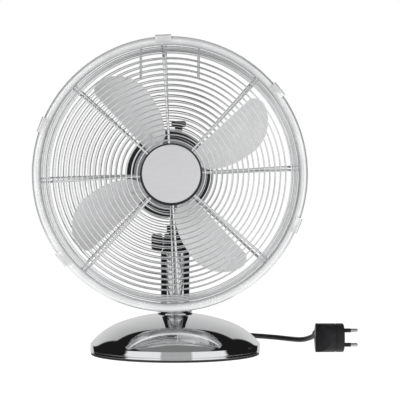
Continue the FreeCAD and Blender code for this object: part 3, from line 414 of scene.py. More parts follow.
def add_piece(name, bm, finish, body, stands_for=()):
    """Makes the piece in metres, smooth except at creases, and puts it on its body."""
    bmesh.ops.scale(bm, vec=(MM, MM, MM), verts=bm.verts)
    piece = laid_out(name, bm)
    piece.data.shade_smooth()
    piece.data.set_sharp_from_angle(angle=radians(crease_angle))
    piece.data.materials.append(finish)
    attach(piece, body)
    if stands_for:
        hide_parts(*stands_for)
    return piece


# ======================================================================= finishes
def new_finish(name, colour, metallic, roughness):
    """Material with its node tree and its shader."""
    finish = bpy.data.materials.new(name)
    finish.use_nodes = True
    shader = finish.node_tree.nodes["Principled BSDF"]
    shader.inputs["Base Color"].default_value = (*colour, 1)
    shader.inputs["Metallic"].default_value = metallic
    shader.inputs["Roughness"].default_value = roughness
    return finish, finish.node_tree, shader


def local_place(tree, scale=(1, 1, 1), turn=(0, 0, 0), centre=(0, 0, 0)):
    """Object coordinates about a centre, turned and then stretched."""
    where = tree.nodes.new("ShaderNodeTexCoord")
    from_centre = tree.nodes.new("ShaderNodeMapping")
    from_centre.inputs["Location"].default_value = [-c for c in centre]
    turned = tree.nodes.new("ShaderNodeMapping")
    turned.inputs["Rotation"].default_value = [radians(a) for a in turn]
    stretched = tree.nodes.new("ShaderNodeMapping")
    stretched.inputs["Scale"].default_value = scale
    tree.links.new(where.outputs["Object"], from_centre.inputs["Vector"])
    tree.links.new(from_centre.outputs["Vector"], turned.inputs["Vector"])
    tree.links.new(turned.outputs["Vector"], stretched.inputs["Vector"])
    return stretched.outputs["Vector"]


def grain(tree, place, scale, detail=3.0, rough=0.5):
    """Fine noise, from 0 to 1."""
    noise = tree.nodes.new("ShaderNodeTexNoise")
    noise.inputs["Scale"].default_value = scale
    noise.inputs["Detail"].default_value = detail
    noise.inputs["Roughness"].default_value = rough
    tree.links.new(place, noise.inputs["Vector"])
    return noise.outputs["Fac"]


def between(tree, value, low, high, start=0.3, end=0.7):
    """Spreads a 0 to 1 pattern over a range of numbers."""
    spread = tree.nodes.new("ShaderNodeMapRange")
    spread.inputs["From Min"].default_value = start
    spread.inputs["From Max"].default_value = end
    spread.inputs["To Min"].default_value = low
    spread.inputs["To Max"].default_value = high
    tree.links.new(value, spread.inputs["Value"])
    return spread.outputs["Result"]


def tinted(tree, value, *stops):
    """Colours along a 0 to 1 pattern, as (place, colour)."""
    ramp = tree.nodes.new("ShaderNodeValToRGB")
    band = ramp.color_ramp
    while len(band.elements) < len(stops):
        band.elements.new(0.5)
    for element, (at, colour) in zip(band.elements, stops):
        element.position = at
        element.color = (*colour, 1)
    tree.links.new(value, ramp.inputs["Fac"])
    return ramp.outputs["Color"]


def added(tree, first, second, part=1.0):
    """The first value and a part of the second."""
    total = tree.nodes.new("ShaderNodeMath")
    total.operation = "MULTIPLY_ADD"
    tree.links.new(second, total.inputs[0])
    total.inputs[1].default_value = part
    tree.links.new(first, total.inputs[2])
    return total.outputs["Value"]


def relief(tree, shader, height, strength, depth):
    """Puts a pattern into the surface as a slight unevenness."""
    bump = tree.nodes.new("ShaderNodeBump")
    bump.inputs["Strength"].default_value = strength
    bump.inputs["Distance"].default_value = depth
    tree.links.new(height, bump.inputs["Height"])
    tree.links.new(bump.outputs["Normal"], shader.inputs["Normal"])


def bright_chrome():
    """Polished chrome plate: faint wiping haze, specks of dust and a slight ripple from pressing."""
    finish, tree, shader = new_finish("bright_chrome", (0.86, 0.865, 0.875), 1.0, 0.05)
    place = local_place(tree)
    haze = grain(tree, place, 22, 5, 0.6)
    specks = grain(tree, place, 900, 2, 0.5)
    wiped = grain(tree, local_place(tree, (8, 60, 60), (0, 0, 30)), 6, 4, 0.55)
    smears = between(tree, haze, 0.01, 0.03)
    tree.links.new(added(tree, smears, between(tree, wiped, 0.0, 0.012)), shader.inputs["Roughness"])
    tree.links.new(tinted(tree, specks, (0.3, (0.80, 0.805, 0.815)), (0.5, (0.87, 0.875, 0.885))),
                   shader.inputs["Base Color"])
    relief(tree, shader, grain(tree, place, 45, 2), 0.02, 0.0004)
    return finish


def drawn_wire():
    """Chrome over drawn wire, with duller patches and small pits."""
    finish, tree, shader = new_finish("chromed_wire", (0.84, 0.845, 0.855), 0.95, 0.12)
    place = local_place(tree)
    pits = grain(tree, place, 600, 3, 0.6)
    patches = grain(tree, place, 40, 3)
    tree.links.new(between(tree, patches, 0.09, 0.2), shader.inputs["Roughness"])
    tree.links.new(tinted(tree, pits, (0.3, (0.74, 0.745, 0.755)), (0.55, (0.86, 0.865, 0.875))),
                   shader.inputs["Base Color"])
    relief(tree, shader, pits, 0.12, 0.0002)
    return finish


def satin_rim():
    """Satin chrome of the rolled rim: softer than the skins, a little cloudy, with a fine grain."""
    finish, tree, shader = new_finish("satin_rim_chrome", (0.89, 0.895, 0.9), 0.55, 0.22)
    place = local_place(tree)
    clouds = grain(tree, place, 30, 4, 0.55)
    fine = grain(tree, place, 1100, 2, 0.6)
    tree.links.new(added(tree, between(tree, clouds, 0.18, 0.3), between(tree, fine, -0.03, 0.03)),
                   shader.inputs["Roughness"])
    tree.links.new(tinted(tree, clouds, (0.3, (0.84, 0.845, 0.85)), (0.65, (0.90, 0.905, 0.91))),
                   shader.inputs["Base Color"])
    relief(tree, shader, fine, 0.06, 0.0002)
    return finish


def spring_chrome():
    """Plated spring strip: rolling lines along the strip and a duller sheen than the skins."""
    finish, tree, shader = new_finish("spring_chrome", (0.82, 0.82, 0.83), 0.6, 0.15)
    lines = grain(tree, local_place(tree, (700, 40, 700)), 1.0, 3, 0.6)
    patches = grain(tree, local_place(tree), 90, 3)
    tree.links.new(between(tree, patches, 0.1, 0.22), shader.inputs["Roughness"])
    tree.links.new(tinted(tree, lines, (0.3, (0.72, 0.725, 0.735)), (0.6, (0.85, 0.85, 0.86))),
                   shader.inputs["Base Color"])
    relief(tree, shader, lines, 0.08, 0.0002)
    return finish


def satin_blade():
    """Fine etched aluminium sheet under clear lacquer, with a faint rolling direction."""
    finish, tree, shader = new_finish("satin_blade", (0.80, 0.80, 0.805), 0.35, 0.42)
    place = local_place(tree, centre=(head_x * MM, 0, head_z * MM))
    etch = grain(tree, place, 1400, 2, 0.6)
    rolled = grain(tree, local_place(tree, (30, 30, 900), (0, 35, 0)), 1.0, 4, 0.6)
    clouds = grain(tree, place, 14, 4, 0.55)
    tree.links.new(added(tree, between(tree, clouds, 0.36, 0.46), between(tree, etch, -0.04, 0.05)),
                   shader.inputs["Roughness"])
    tree.links.new(tinted(tree, rolled, (0.3, (0.64, 0.64, 0.65)), (0.65, (0.72, 0.72, 0.725))),
                   shader.inputs["Base Color"])
    relief(tree, shader, added(tree, etch, rolled, 0.6), 0.1, 0.0002)
    shader.inputs["Coat Weight"].default_value = 0.25
    shader.inputs["Coat Roughness"].default_value = 0.2
    return finish


def brushed_badge():
    """Straight-brushed aluminium disc, brushed from side to side."""
    finish, tree, shader = new_finish("brushed_badge", (0.74, 0.74, 0.75), 0.4, 0.38)
    strokes = grain(tree, local_place(tree, (60, 60, 2600)), 1.0, 6, 0.7)
    broad = grain(tree, local_place(tree, (20, 20, 300)), 1.0, 3, 0.5)
    tree.links.new(tinted(tree, strokes, (0.3, (0.46, 0.46, 0.475)), (0.7, (0.56, 0.56, 0.57))),
                   shader.inputs["Base Color"])
    tree.links.new(added(tree, between(tree, strokes, 0.32, 0.46), between(tree, broad, -0.03, 0.03)),
                   shader.inputs["Roughness"])
    relief(tree, shader, strokes, 0.12, 0.0001)
    return finish


def moulded_plastic(name, colour, roughness, pebble=1800, depth=0.00015):
    """Moulded plastic: fine spark texture, slightly uneven gloss and a worn tint."""
    finish, tree, shader = new_finish(name, colour, 0.0, roughness)
    place = local_place(tree)
    texture = grain(tree, place, pebble, 2, 0.5)
    flow = grain(tree, place, 30, 4, 0.55)
    pale = [min(1, c * 1.5 + 0.003) for c in colour]
    shader.inputs["Specular IOR Level"].default_value = 0.35
    tree.links.new(tinted(tree, flow, (0.35, colour), (0.75, pale)), shader.inputs["Base Color"])
    tree.links.new(added(tree, between(tree, flow, roughness - 0.06, roughness + 0.08),
                         between(tree, texture, -0.03, 0.03)), shader.inputs["Roughness"])
    relief(tree, shader, texture, 0.35, depth)
    return finish


def cord_sheath():
    """Soft PVC sheath, matt, with paler scuffs."""
    finish, tree, shader = new_finish("cord_sheath", (0.018, 0.018, 0.02), 0.0, 0.42)
    place = local_place(tree)
    skin = grain(tree, place, 1500, 2, 0.5)
    scuffs = grain(tree, place, 60, 4, 0.65)
    tones = (0.4, (0.014, 0.014, 0.016)), (0.75, (0.035, 0.035, 0.037))
    tree.links.new(tinted(tree, scuffs, *tones), shader.inputs["Base Color"])
    tree.links.new(between(tree, scuffs, 0.36, 0.52), shader.inputs["Roughness"])
    relief(tree, shader, skin, 0.2, 0.0001)
    return finish


def cast_metal(name, colour, roughness, metallic=1.0, coarse=500, depth=0.0003):
    """Bare or cast metal with a grained surface and duller patches."""
    finish, tree, shader = new_finish(name, colour, metallic, roughness)
    place = local_place(tree)
    pits = grain(tree, place, coarse, 4, 0.6)
    patches = grain(tree, place, 35, 4, 0.6)
    dark = [c * 0.78 for c in colour]
    tree.links.new(tinted(tree, patches, (0.35, dark), (0.65, colour)), shader.inputs["Base Color"])
    tree.links.new(added(tree, between(tree, patches, roughness + 0.06, roughness - 0.06),
                         between(tree, pits, 0.05, -0.05)), shader.inputs["Roughness"])
    relief(tree, shader, pits, 0.3, depth)
    return finish


def wound_copper():
    """Enamelled copper wire, seen as fine parallel turns."""
    finish, tree, shader = new_finish("wound_copper", (0.72, 0.34, 0.17), 0.9, 0.3)
    place = local_place(tree, centre=(head_x * MM, 0, head_z * MM))
    turns = tree.nodes.new("ShaderNodeTexWave")
    turns.wave_type, turns.rings_direction = "RINGS", "Y"
    turns.inputs["Scale"].default_value = 420
    turns.inputs["Distortion"].default_value = 1.2
    tree.links.new(place, turns.inputs["Vector"])
    tones = (0.2, (0.36, 0.13, 0.05)), (0.8, (0.78, 0.38, 0.19))
    tree.links.new(tinted(tree, turns.outputs["Fac"], *tones), shader.inputs["Base Color"])
    relief(tree, shader, turns.outputs["Fac"], 0.5, 0.0003)
    return finish


def stacked_laminations():
    """Thin steel sheets stacked along the shaft."""
    finish, tree, shader = new_finish("stacked_laminations", (0.42, 0.42, 0.44), 1.0, 0.45)
    sheets = tree.nodes.new("ShaderNodeTexWave")
    sheets.wave_type, sheets.bands_direction = "BANDS", "Y"
    sheets.inputs["Scale"].default_value = 320
    tree.links.new(local_place(tree), sheets.inputs["Vector"])
    tones = (0.1, (0.16, 0.16, 0.17)), (0.5, (0.46, 0.46, 0.48))
    tree.links.new(tinted(tree, sheets.outputs["Fac"], *tones), shader.inputs["Base Color"])
    relief(tree, shader, sheets.outputs["Fac"], 0.4, 0.0002)
    return finish


chrome = bright_chrome()
wire_chrome = drawn_wire()
rim_chrome = satin_rim()
strip_chrome = spring_chrome()
blade_satin = satin_blade()
badge_satin = brushed_badge()
black_knob = moulded_plastic("black_knob_plastic", (0.007, 0.007, 0.008), 0.34)
black_joint = moulded_plastic("black_joint_nylon", (0.008, 0.008, 0.009), 0.42, 1200, 0.0002)
# the badge cup's black is painted shade: it stands in for the shadow round the badge disc's rounded edge
cup_black_painted_shade = moulded_plastic("badge_cup_painted_shade_black", (0.008, 0.008, 0.009), 0.42, 2500, 0.00008)
plug_black = moulded_plastic("black_plug_pvc", (0.008, 0.008, 0.009), 0.36, 1600, 0.00012)
foot_rubber = moulded_plastic("foot_rubber", (0.02, 0.02, 0.02), 0.7, 900, 0.0003)
white_can = moulded_plastic("white_capacitor_can", (0.75, 0.75, 0.72), 0.4, 900, 0.0001)
pale_nylon = moulded_plastic("natural_nylon", (0.72, 0.70, 0.62), 0.42, 1100, 0.0001)
sheath = cord_sheath()
cast_alloy = cast_metal("cast_alloy", (0.62, 0.62, 0.64), 0.42)
painted_alloy = cast_metal("black_painted_alloy", (0.014, 0.014, 0.016), 0.3, 0.0, 700, 0.0002)
cast_iron = cast_metal("cast_iron", (0.10, 0.10, 0.105), 0.7, 0.6, 260, 0.0008)
zinc = cast_metal("zinc_plate", (0.62, 0.63, 0.66), 0.3, 1.0, 900, 0.0001)
bronze = cast_metal("sintered_bronze", (0.52, 0.34, 0.16), 0.45, 1.0, 1500, 0.0002)
nickel = cast_metal("nickel_pins", (0.78, 0.77, 0.74), 0.16, 1.0, 1800, 0.00005)
copper = wound_copper()
laminations = stacked_laminations()


# ======================================================================= base and stem
def crown_curve():
    """Radius and centre height of the flat arc over the top of the dome."""
    rise = dome_top - shoulder_z
    radius = (shoulder_r ** 2 + rise ** 2) / (2 * rise)
    return radius, dome_top - radius


def shoulder_curve():
    """Radius and centre of the arc that runs on from the crown to the band."""
    crown_r, crown_z = crown_curve()
    inward = (-shoulder_r / crown_r, (crown_z - shoulder_z) / crown_r)
    back = (shoulder_r - base_r, shoulder_z - band_top)
    radius = -(back[0] ** 2 + back[1] ** 2) / (2 * (inward[0] * back[0] + inward[1] * back[1]))
    return radius, shoulder_r + inward[0] * radius, shoulder_z + inward[1] * radius


def dome_line(inset, hole_r):
    """The dome's outline from the band up to a hole round the axis."""
    crown_r, crown_z = crown_curve()
    side_r, side_x, side_z = shoulder_curve()
    edge = degrees(acos((base_r - inset - side_x) / (side_r - inset)))
    join = degrees(acos(shoulder_r / crown_r))
    top = degrees(acos(hole_r / (crown_r - inset)))
    side = bend((side_x, side_z), side_r - inset, edge, join, 22)
    return side + bend((0, crown_z), crown_r - inset, join, top, 22)[1:]


def slope_seat():
    """Lays +Z square to the dome's rear slope, at the speed switch."""
    side_r, side_x, side_z = shoulder_curve()
    lean = asin((switch_r - side_x) / side_r)
    spot = Matrix.Translation((0, switch_r, side_z + side_r * cos(lean)))
    return spot @ Matrix.Rotation(-lean, 4, "X")


def base_cover():
    """Pressed dome with an upright band and a rolled line above its lower edge."""
    low, high = band_bottom + groove_rise, band_bottom + groove_rise + groove_w
    groove = [(base_r, low), (base_r - groove_depth, low + 0.1),
              (base_r - groove_depth, high - 0.1), (base_r, high)]
    outline = [(base_r - cover_t, band_bottom), (base_r, band_bottom)] + groove
    outline += dome_line(0, tie_hole_r) + dome_line(cover_t, tie_hole_r)[::-1]
    cover = soften(lathe(outline, 192), 0.45, 3, 20)
    gland_hole = rod(gland_r, (gland_x, base_r - 30, gland_z), (gland_x, base_r + 5, gland_z))
    switch_hole = moved(rod(switch_hole_r, (0, 0, -8), (0, 0, 8)), slope_seat())
    return cut_away(cover, [gland_hole, switch_hole])


def foot_ring():
    """Rubber ring under the band, with three small beads that touch the table."""
    outer = base_r - 0.8
    wall = base_r - cover_t
    outline = [(outer - foot_lip, 0), (outer, 0), (outer, band_bottom - 0.1),
               (wall, band_bottom - 0.1), (wall, band_bottom + 3), (wall - 2.5, band_bottom + 3),
               (wall - 2.5, band_bottom), (outer - foot_lip, band_bottom)]
    ring = soften(lathe(outline, 160), 0.4, 3)
    bead_r = 0.35
    return joined([ring] + [hoop(outer - 2.4 - 1.9 * k, bead_r, bead_r, 6, 160) for k in range(3)])


def stem():
    """Tube with a flared foot that sits on the dome."""
    crown_r, crown_z = crown_curve()
    foot = stem_r + foot_flare
    seat = crown_z + sqrt(crown_r ** 2 - foot ** 2)
    flare = [(stem_r + foot_flare * (1 - k / 10) ** foot_flare_power, dome_top + foot_flare_h * k / 10)
             for k in range(11)]
    outline = [(stem_r - stem_t, dome_top - 1), (foot + 0.1, seat)] + flare
    outline += [(stem_r, stem_top), (stem_r - stem_t, stem_top)]
    return soften(lathe(outline, 96), 0.3, 3, 40)


def speed_knob():
    """Fluted knob with a raised pointer on its cap."""
    low = speed_knob_low
    top = low + speed_knob_h
    outline = [(0, low + 7), (6, low + 7), (6, low), (speed_knob_r, low), (speed_knob_r - 1.2, top - 1.5)]
    outline += bend((speed_knob_r - 2.9, top - 1.7), 1.7, 10, 90, 6) + [(0, top)]
    groove = rod(0.9, (speed_knob_r + 0.35, 0, low + 1.5), (speed_knob_r - 0.75, 0, top + 1), 12)
    body = grooved(soften(lathe(outline, 96), 0.3), groove, 18)
    pointer = soften(block((-1.2, -speed_knob_r + 2.4, top - 0.6), (1.2, -1, top + 0.6)), 0.35, 3)
    return moved(joined([body, pointer]), slope_seat())


def position_marks():
    """Raised marks round the speed knob, one for each position."""
    marks = []
    for k in range(speed_positions):
        turn = Matrix.Rotation(radians(-speed_step * k), 4, "Z")
        place = turn @ Matrix.Translation((0, -speed_knob_r - 4, -0.35))
        marks.append(moved(rod(1.1, (0, 0, 0), (0, 0, 0.6), 16, 0.8), place))
    return moved(joined(marks), slope_seat())


# ======================================================================= tilt joint and neck
def clevis():
    """Round cap on the stem with the two ears of the tilt hinge."""
    plug, under, top = stem_r - stem_t - 0.05, stem_top + 0.02, stem_top + clevis_cap_t
    outer = ear_out + tilt_washer_t
    cap = [(0, stem_top - clevis_plug_l), (plug, stem_top - clevis_plug_l), (plug, under), (outer, under)]
    parts = [lathe(cap + bend((outer - 1.5, top - 1.5), 1.5, 0, 90, 5) + [(0, top)], 72)]
    rise, half = hinge_z - stem_top - 2, (ear_out - ear_in) / 2
    outline = [(-ear_r, -rise), (ear_r, -rise)] + bend((0, 0), ear_r, 0, 180, 24)
    for side in (-1, 1):
        seat = Matrix.Translation((side * (ear_in + ear_out) / 2, 0, hinge_z))
        parts.append(moved(soften(plate(outline, -half, half), 0.6, 3), seat @ SIDEWAYS))
    return joined(parts)


def hinge_rod(radius, start, end, segments=48):
    """Round length along the hinge's axis."""
    return rod(radius, (start, 0, hinge_z), (end, 0, hinge_z), segments)


def tilt_bolt():
    """Bolt head with a hexagon socket, washer and shank."""
    shank = hinge_rod(bolt_r, -ear_out - tilt_knob_l - 1, ear_out, 32)
    washer = soften(hinge_rod(7, -ear_out - tilt_washer_t, -ear_out - 0.02), 0.3)
    head = soften(hinge_rod(6, ear_out + 0.02, ear_out + 4), 0.5, 3)
    return joined([shank, washer, cut_away(head, [hinge_rod(3, ear_out + 1.5, ear_out + 5, 6)])])


def tilt_knob():
    """Fluted clamping knob with a dished face."""
    back = ear_out + tilt_washer_t + seat_gap
    front = back + tilt_knob_l
    bore_r, bore_end = bolt_r + 0.05, ear_out + tilt_knob_l + 1.3
    outline = [(bore_r, back)] + bend((tilt_knob_r - 2, back + 2), 2, -90, 0, 5)
    outline += bend((tilt_knob_r - 4, front - 4), 4, 0, 90, 8)
    outline += [(5.5, front), (4.8, front - 1.0), (0, front - 1.2), (0, bore_end), (bore_r, bore_end)]
    groove = rod(1.25, (tilt_knob_r + 0.4, 0, back - 1), (tilt_knob_r + 0.4, 0, front + 1), 16)
    seat = Matrix.Translation((0, 0, hinge_z)) @ Matrix.Rotation(-pi / 2, 4, "Y")
    return moved(grooved(lathe(outline, 90), groove, 10), seat)


def anchor_rod(radius, low, high, segments=32):
    """Upright round length on the link's pivot, with heights from the top of the neck."""
    return rod(radius, (anchor_x, 0, neck_top + low), (anchor_x, 0, neck_top + high), segments)


def neck():
    """Tilting lug under the swivel socket, with the arm that holds the link's pivot."""
    half = ear_in - seat_gap
    rise = socket_bottom - hinge_z + 2
    lug = [(-lug_r, rise)] + bend((0, 0), lug_r, 180, 360, 24) + [(lug_r, rise)]
    web = moved(soften(plate(lug, -half, half), 0.6, 3), Matrix.Translation((0, 0, hinge_z)) @ SIDEWAYS)
    low = socket_bottom + 0.5
    socket = [(socket_bore_r, low), (socket_r, low), (socket_r, neck_top), (socket_bore_r, neck_top)]
    arm = soften(block((0, -anchor_arm_r, neck_top - 6), (anchor_x, anchor_arm_r, neck_top - 1)), 0.5)
    arm = cut_away(arm, [rod(socket_bore_r + 0.45, (0, 0, low - 9), (0, 0, neck_top + 12.5), 48)])
    eye, cap = soften(anchor_rod(anchor_arm_r, -6, -1, 40), 0.5), soften(anchor_rod(4, 2.9, 3.9), 0.3)
    return joined([web, soften(lathe(socket, 72), 0.6, 3), arm, eye, anchor_rod(4, -1.2, 0.5),
                   anchor_rod(2.5, 0.4, 2.9), cap])


# ======================================================================= motor cover and knobs
def bullet_line(inset, front):
    """Half outline of the rear cover, from its front edge to its tip."""
    tail = cover_straight_end - cover_back
    centre = cover_r - cover_side_r
    end_r = (centre ** 2 + tail ** 2 - cover_side_r ** 2) / (2 * (tail - cover_side_r))
    end_z = cover_back + end_r
    lean = degrees(atan2(end_z - cover_straight_end, centre))
    side = bend((centre, cover_straight_end), cover_side_r - inset, 0, -lean, 16)
    tip = bend((0, end_z), end_r - inset, -lean, -90, 26)
    return [(cover_r - inset, front)] + side + tip[1:]


def motor_cover():
    """Bullet-shaped cover: vent slots on both sides, a gap for the post, a hole for the pull knob."""
    rolled = [(cover_r + 0.35, cover_front), (cover_r + 0.35, cover_front - 2.4), (cover_r, cover_front - 3)]
    outline = rolled + bullet_line(0, cover_front - 3.2) + bullet_line(cover_t, cover_front)[::-1]
    skin = soften(lathe(outline, 160), 0.25, 2, 40)
    underside = Vector((0, 0, head_z - cover_r))
    gap = block(underside + Vector(post_gap_low), underside + Vector(post_gap_high))
    hole = rod(4, (spindle_x, spindle_y, head_z), (spindle_x, spindle_y, knob_z), 32)
    openings = [moved(shape, HEAD.inverted()) for shape in (gap, hole)]
    for middle in vent_sides:
        for k in range(-3, 4):
            slot = block((-vent_w / 2, 0, vent_back), (vent_w / 2, cover_r + 5, vent_front))
            openings.append(moved(slot, Matrix.Rotation(radians(middle + vent_pitch * k), 4, "Z")))
    return moved(cut_away(skin, openings), HEAD)


def pull_knob():
    """Mushroom knob that is pulled up to stop the oscillation."""
    low = knob_z + 6
    top = low + knob_cap_h
    outline = [(2.6, knob_z), (5, knob_z), (5, low - 1.2)] + bend((6.2, low - 1.2), 1.2, 180, 90, 4)
    outline += [(knob_cap_r - 0.6, low)] + bend((knob_cap_r - 3, top - 3), 3, 0, 90, 8)
    outline += [(4, top - 0.7), (0, top - 0.9), (0, knob_z + 8.8), (2.6, knob_z + 8.8)]
    groove = rod(0.45, (knob_cap_r + 0.2, 0, low + 1), (knob_cap_r + 0.2, 0, top - 2.6), 10)
    knob = grooved(soften(lathe(outline, 72), 0.3), groove, 24)
    return moved(knob, Matrix.Translation((spindle_x, spindle_y, 0)))


# ======================================================================= cage
def rim_middle():
    """Radius of the circle that both rims are centred on."""
    return cage_r - rim_w / 2


def bowl(rim_point, corner, apex, sign):
    """Half outline of a grille: a straight side, a rounded corner and a shallow dome."""
    rise = apex - corner[1]
    dome_r = (corner[0] ** 2 + rise ** 2) / (2 * rise)
    run = dist(rim_point, corner)
    along = ((corner[0] - rim_point[0]) / run, (corner[1] - rim_point[1]) / run)
    inward = (-along[1], along[0])
    from_centre = (rim_point[0] + inward[0] * bowl_round,
                   rim_point[1] + inward[1] * bowl_round - (apex - dome_r))
    dot = from_centre[0] * along[0] + from_centre[1] * along[1]
    square = from_centre[0] ** 2 + from_centre[1] ** 2
    reach = -dot + sqrt(dot ** 2 - square + (dome_r - bowl_round) ** 2)
    return {"rim": rim_point, "along": along, "inward": inward, "reach": reach,
            "dome_r": dome_r, "dome_centre": apex - dome_r, "sign": sign}


front_start = (cage_r - rim_w + front_start_in, rim_front - rim_w / 2)
rear_start = (cage_r - rear_start_in, -rim_back - rear_start_up)
front_bowl = bowl(front_start, front_corner, front_apex, 1)
rear_bowl = bowl(rear_start, rear_corner, rear_apex, -1)


def side_point(shape, distance, inset):
    """Point (radius, height) on a grille's straight side, at a distance from the rim."""
    radius = shape["rim"][0] + shape["along"][0] * distance + shape["inward"][0] * inset
    return radius, shape["rim"][1] + shape["along"][1] * distance + shape["inward"][1] * inset


def dome_point(shape, radius, inset):
    """Point (radius, height) on a grille's domed face."""
    return radius, shape["dome_centre"] + sqrt((shape["dome_r"] - inset) ** 2 - radius ** 2)


def guard_rings(shape, side_count, outer):
    """Concentric ring wires up the side and across the domed face of a grille."""
    centres = [side_point(shape, side_pitch * (k + first_side_ring), 0) for k in range(side_count)]
    centres += [dome_point(shape, outer - ring_pitch * k, 0) for k in range(dome_rings)]
    rings = [hoop(radius, shape["sign"] * out, ring_wire_r) for radius, out in centres]
    return moved(joined(rings), HEAD)


def spoke(shape, inner_r):
    """One wire from the rim round the corner to the middle, on the inner side of the rings."""
    inset = ring_wire_r + spoke_wire_r - weld
    start = side_point(shape, 0, inset)
    turn_start = side_point(shape, shape["reach"], inset)
    centre = side_point(shape, shape["reach"], bowl_round)
    side_lean = atan2(-shape["inward"][0], -shape["inward"][1])
    lean = atan2(centre[0], centre[1] - shape["dome_centre"])
    end_lean = asin(inner_r / (shape["dome_r"] - inset))
    bm = bmesh.new()
    along = Vector((turn_start[0] - start[0], 0, turn_start[1] - start[1]))
    edges = wire_end(bm, spoke_wire_r, (start[0], 0, start[1]), along)
    edges = wire_straight(bm, edges, along)
    edges = wire_bend(bm, edges, (centre[0], 0, centre[1]), (0, 1, 0), lean - side_lean, 6)
    edges = wire_bend(bm, edges, (0, 0, shape["dome_centre"]), (0, 1, 0), end_lean - lean, 14)
    wire_close(bm, edges)
    bmesh.ops.scale(bm, vec=(1, 1, shape["sign"]), verts=bm.verts)
    return bm


def guard_spokes(shape, inner_r, roll):
    """All the spokes of a grille, rolled a little away from upright."""
    spokes = fanned(spoke(shape, inner_r), spoke_count, 90 + roll)
    bmesh.ops.recalc_face_normals(spokes, faces=spokes.faces)
    return spokes


def rear_braces():
    """Two short upright wires welded inside the rear grille, either side of its top spoke."""
    inset = ring_wire_r + spoke_wire_r - weld
    rim = side_point(rear_bowl, 0, inset)
    turn = side_point(rear_bowl, rear_bowl["reach"], inset)
    low = dome_point(rear_bowl, rim[0] - brace_drop, inset)
    braces = []
    for side in (-1, 1):
        start, corner, end = [Vector((side * brace_x, sqrt(radius ** 2 - brace_x ** 2), -out))
                              for radius, out in (rim, turn, low)]
        braces += [rod(spoke_wire_r, start, corner, 12), rod(spoke_wire_r, corner, end, 12),
                   ball(spoke_wire_r, corner, 12, 8)]
    return joined(braces)


def front_band():
    """Smooth channel-shaped rim that the front grille's wires are welded into."""
    middle, half = rim_middle(), rim_w / 2
    centre = rim_front - half
    outline = [(middle - half, centre - 3)] + bend((middle, centre), half, 180, 0, 16)
    outline += [(cage_r, rim_back), (cage_r - rim_t, rim_back)]
    outline += bend((middle, centre), half - rim_t, 0, 180, 12) + [(middle - half + rim_t, centre - 3)]
    return moved(soften(lathe(outline, 200), 0.25, 2, 40), HEAD)


def hinge_bar(radius, half, segments):
    """Round bar along the hinge of a clip at the angle 0, to both sides of its middle."""
    ends = [(clip_hinge_r, side, clip_hinge_front) for side in (-half, half)]
    return rod(radius, *ends, segments)


def pin_bore():
    """What is bored out of a clip for its hinge pin."""
    return hinge_bar(clip_pin_r + clip_play, clip_w, 24)


def rear_rim():
    """Heavy rim wire of the rear grille, with the hinge pins of the clips."""
    front = rim_back + rear_rim_r + 0.5
    parts = [hoop(rim_middle(), front, rear_rim_r, 16, 180)]
    lug = clip_w / 2 + 2
    for angle in clip_angles:
        shapes = [hinge_bar(clip_pin_r, lug, 16)]
        for side in (-lug, lug):
            knuckle, foot = (clip_hinge_r, side, clip_hinge_front), (rim_middle() - 0.5, side, front)
            shapes += [rod(clip_lug_r, knuckle, foot, 16), ball(clip_lug_r, knuckle, 16, 10)]
        parts.append(moved(joined(shapes), Matrix.Rotation(radians(angle), 4, "Z")))
    return moved(joined(parts), HEAD)


def clip_outline(low):
    """Side view of a clip's strip: (radius, height) from its eye, up outside the rim and over it."""
    wall, hook = cage_r + seat_gap + 0.1, rim_front + 0.8
    inner_r, outer_r = 1.0, 1.0 + clip_t
    outer, tip = wall + clip_t - outer_r, wall + clip_t - clip_hook
    outline = [(clip_hinge_r, low)] + bend((outer, low + outer_r), outer_r, -90, 0, 6)
    outline += bend((outer, hook + clip_t - outer_r), outer_r, 0, 90, 6)
    outline += [(tip + 1.6, hook + clip_t), (tip, hook + clip_t + 0.5), (tip, hook + 0.5), (tip + 1.6, hook)]
    outline += bend((wall - inner_r, hook - inner_r), inner_r, 90, 0, 5)
    outline += bend((wall - inner_r, low + clip_t + inner_r), inner_r, 0, -90, 5)
    return outline + [(clip_hinge_r + 2.6, low + clip_t), (clip_hinge_r, low + clip_t)]


def guard_clip(angle):
    """Spring clip: an eye round its pin, a plate outside the rim and a hook over the front."""
    eye_r = clip_pin_r + clip_play + clip_t - 0.15
    strip = plate(clip_outline(clip_hinge_front - eye_r), -clip_w / 2, clip_w / 2)
    upright = Matrix(((1, 0, 0, 0), (0, 0, 1, 0), (0, 1, 0, 0), (0, 0, 0, 1)))
    strip = soften(moved(strip, upright), 0.25, 2, 50)
    bmesh.ops.recalc_face_normals(strip, faces=strip.faces)
    eye = soften(cut_away(hinge_bar(eye_r, clip_w / 2, 32), [pin_bore()]), 0.2, 2, 50)
    clip = joined([cut_away(strip, [pin_bore()]), eye])
    return moved(clip, HEAD @ Matrix.Rotation(radians(angle), 4, "Z"))


def lock_screw():
    """Cross-head screw through the rim, in place of a sixth clip."""
    front = rim_back + rear_rim_r + 0.5
    dome = [(0, 2.6)] + bend((0, -0.9), 3.5, 90, 24, 8) + [(3.2, 0), (0, 0)]
    head = lathe(dome, 40)
    for slot in (block((-2.0, -0.4, 1.4), (2.0, 0.4, 4)), block((-0.4, -2.0, 1.4), (0.4, 2.0, 4))):
        head = cut_away(head, [slot])
    seat = Matrix.Translation((cage_r, 0, front)) @ Matrix.Rotation(pi / 2, 4, "Y")
    shank = rod(2.0, (rim_middle() + rear_rim_r, 0, front), (cage_r, 0, front), 20)
    return moved(joined([moved(head, seat), shank]), HEAD @ Matrix.Rotation(radians(lock_angle), 4, "Z"))


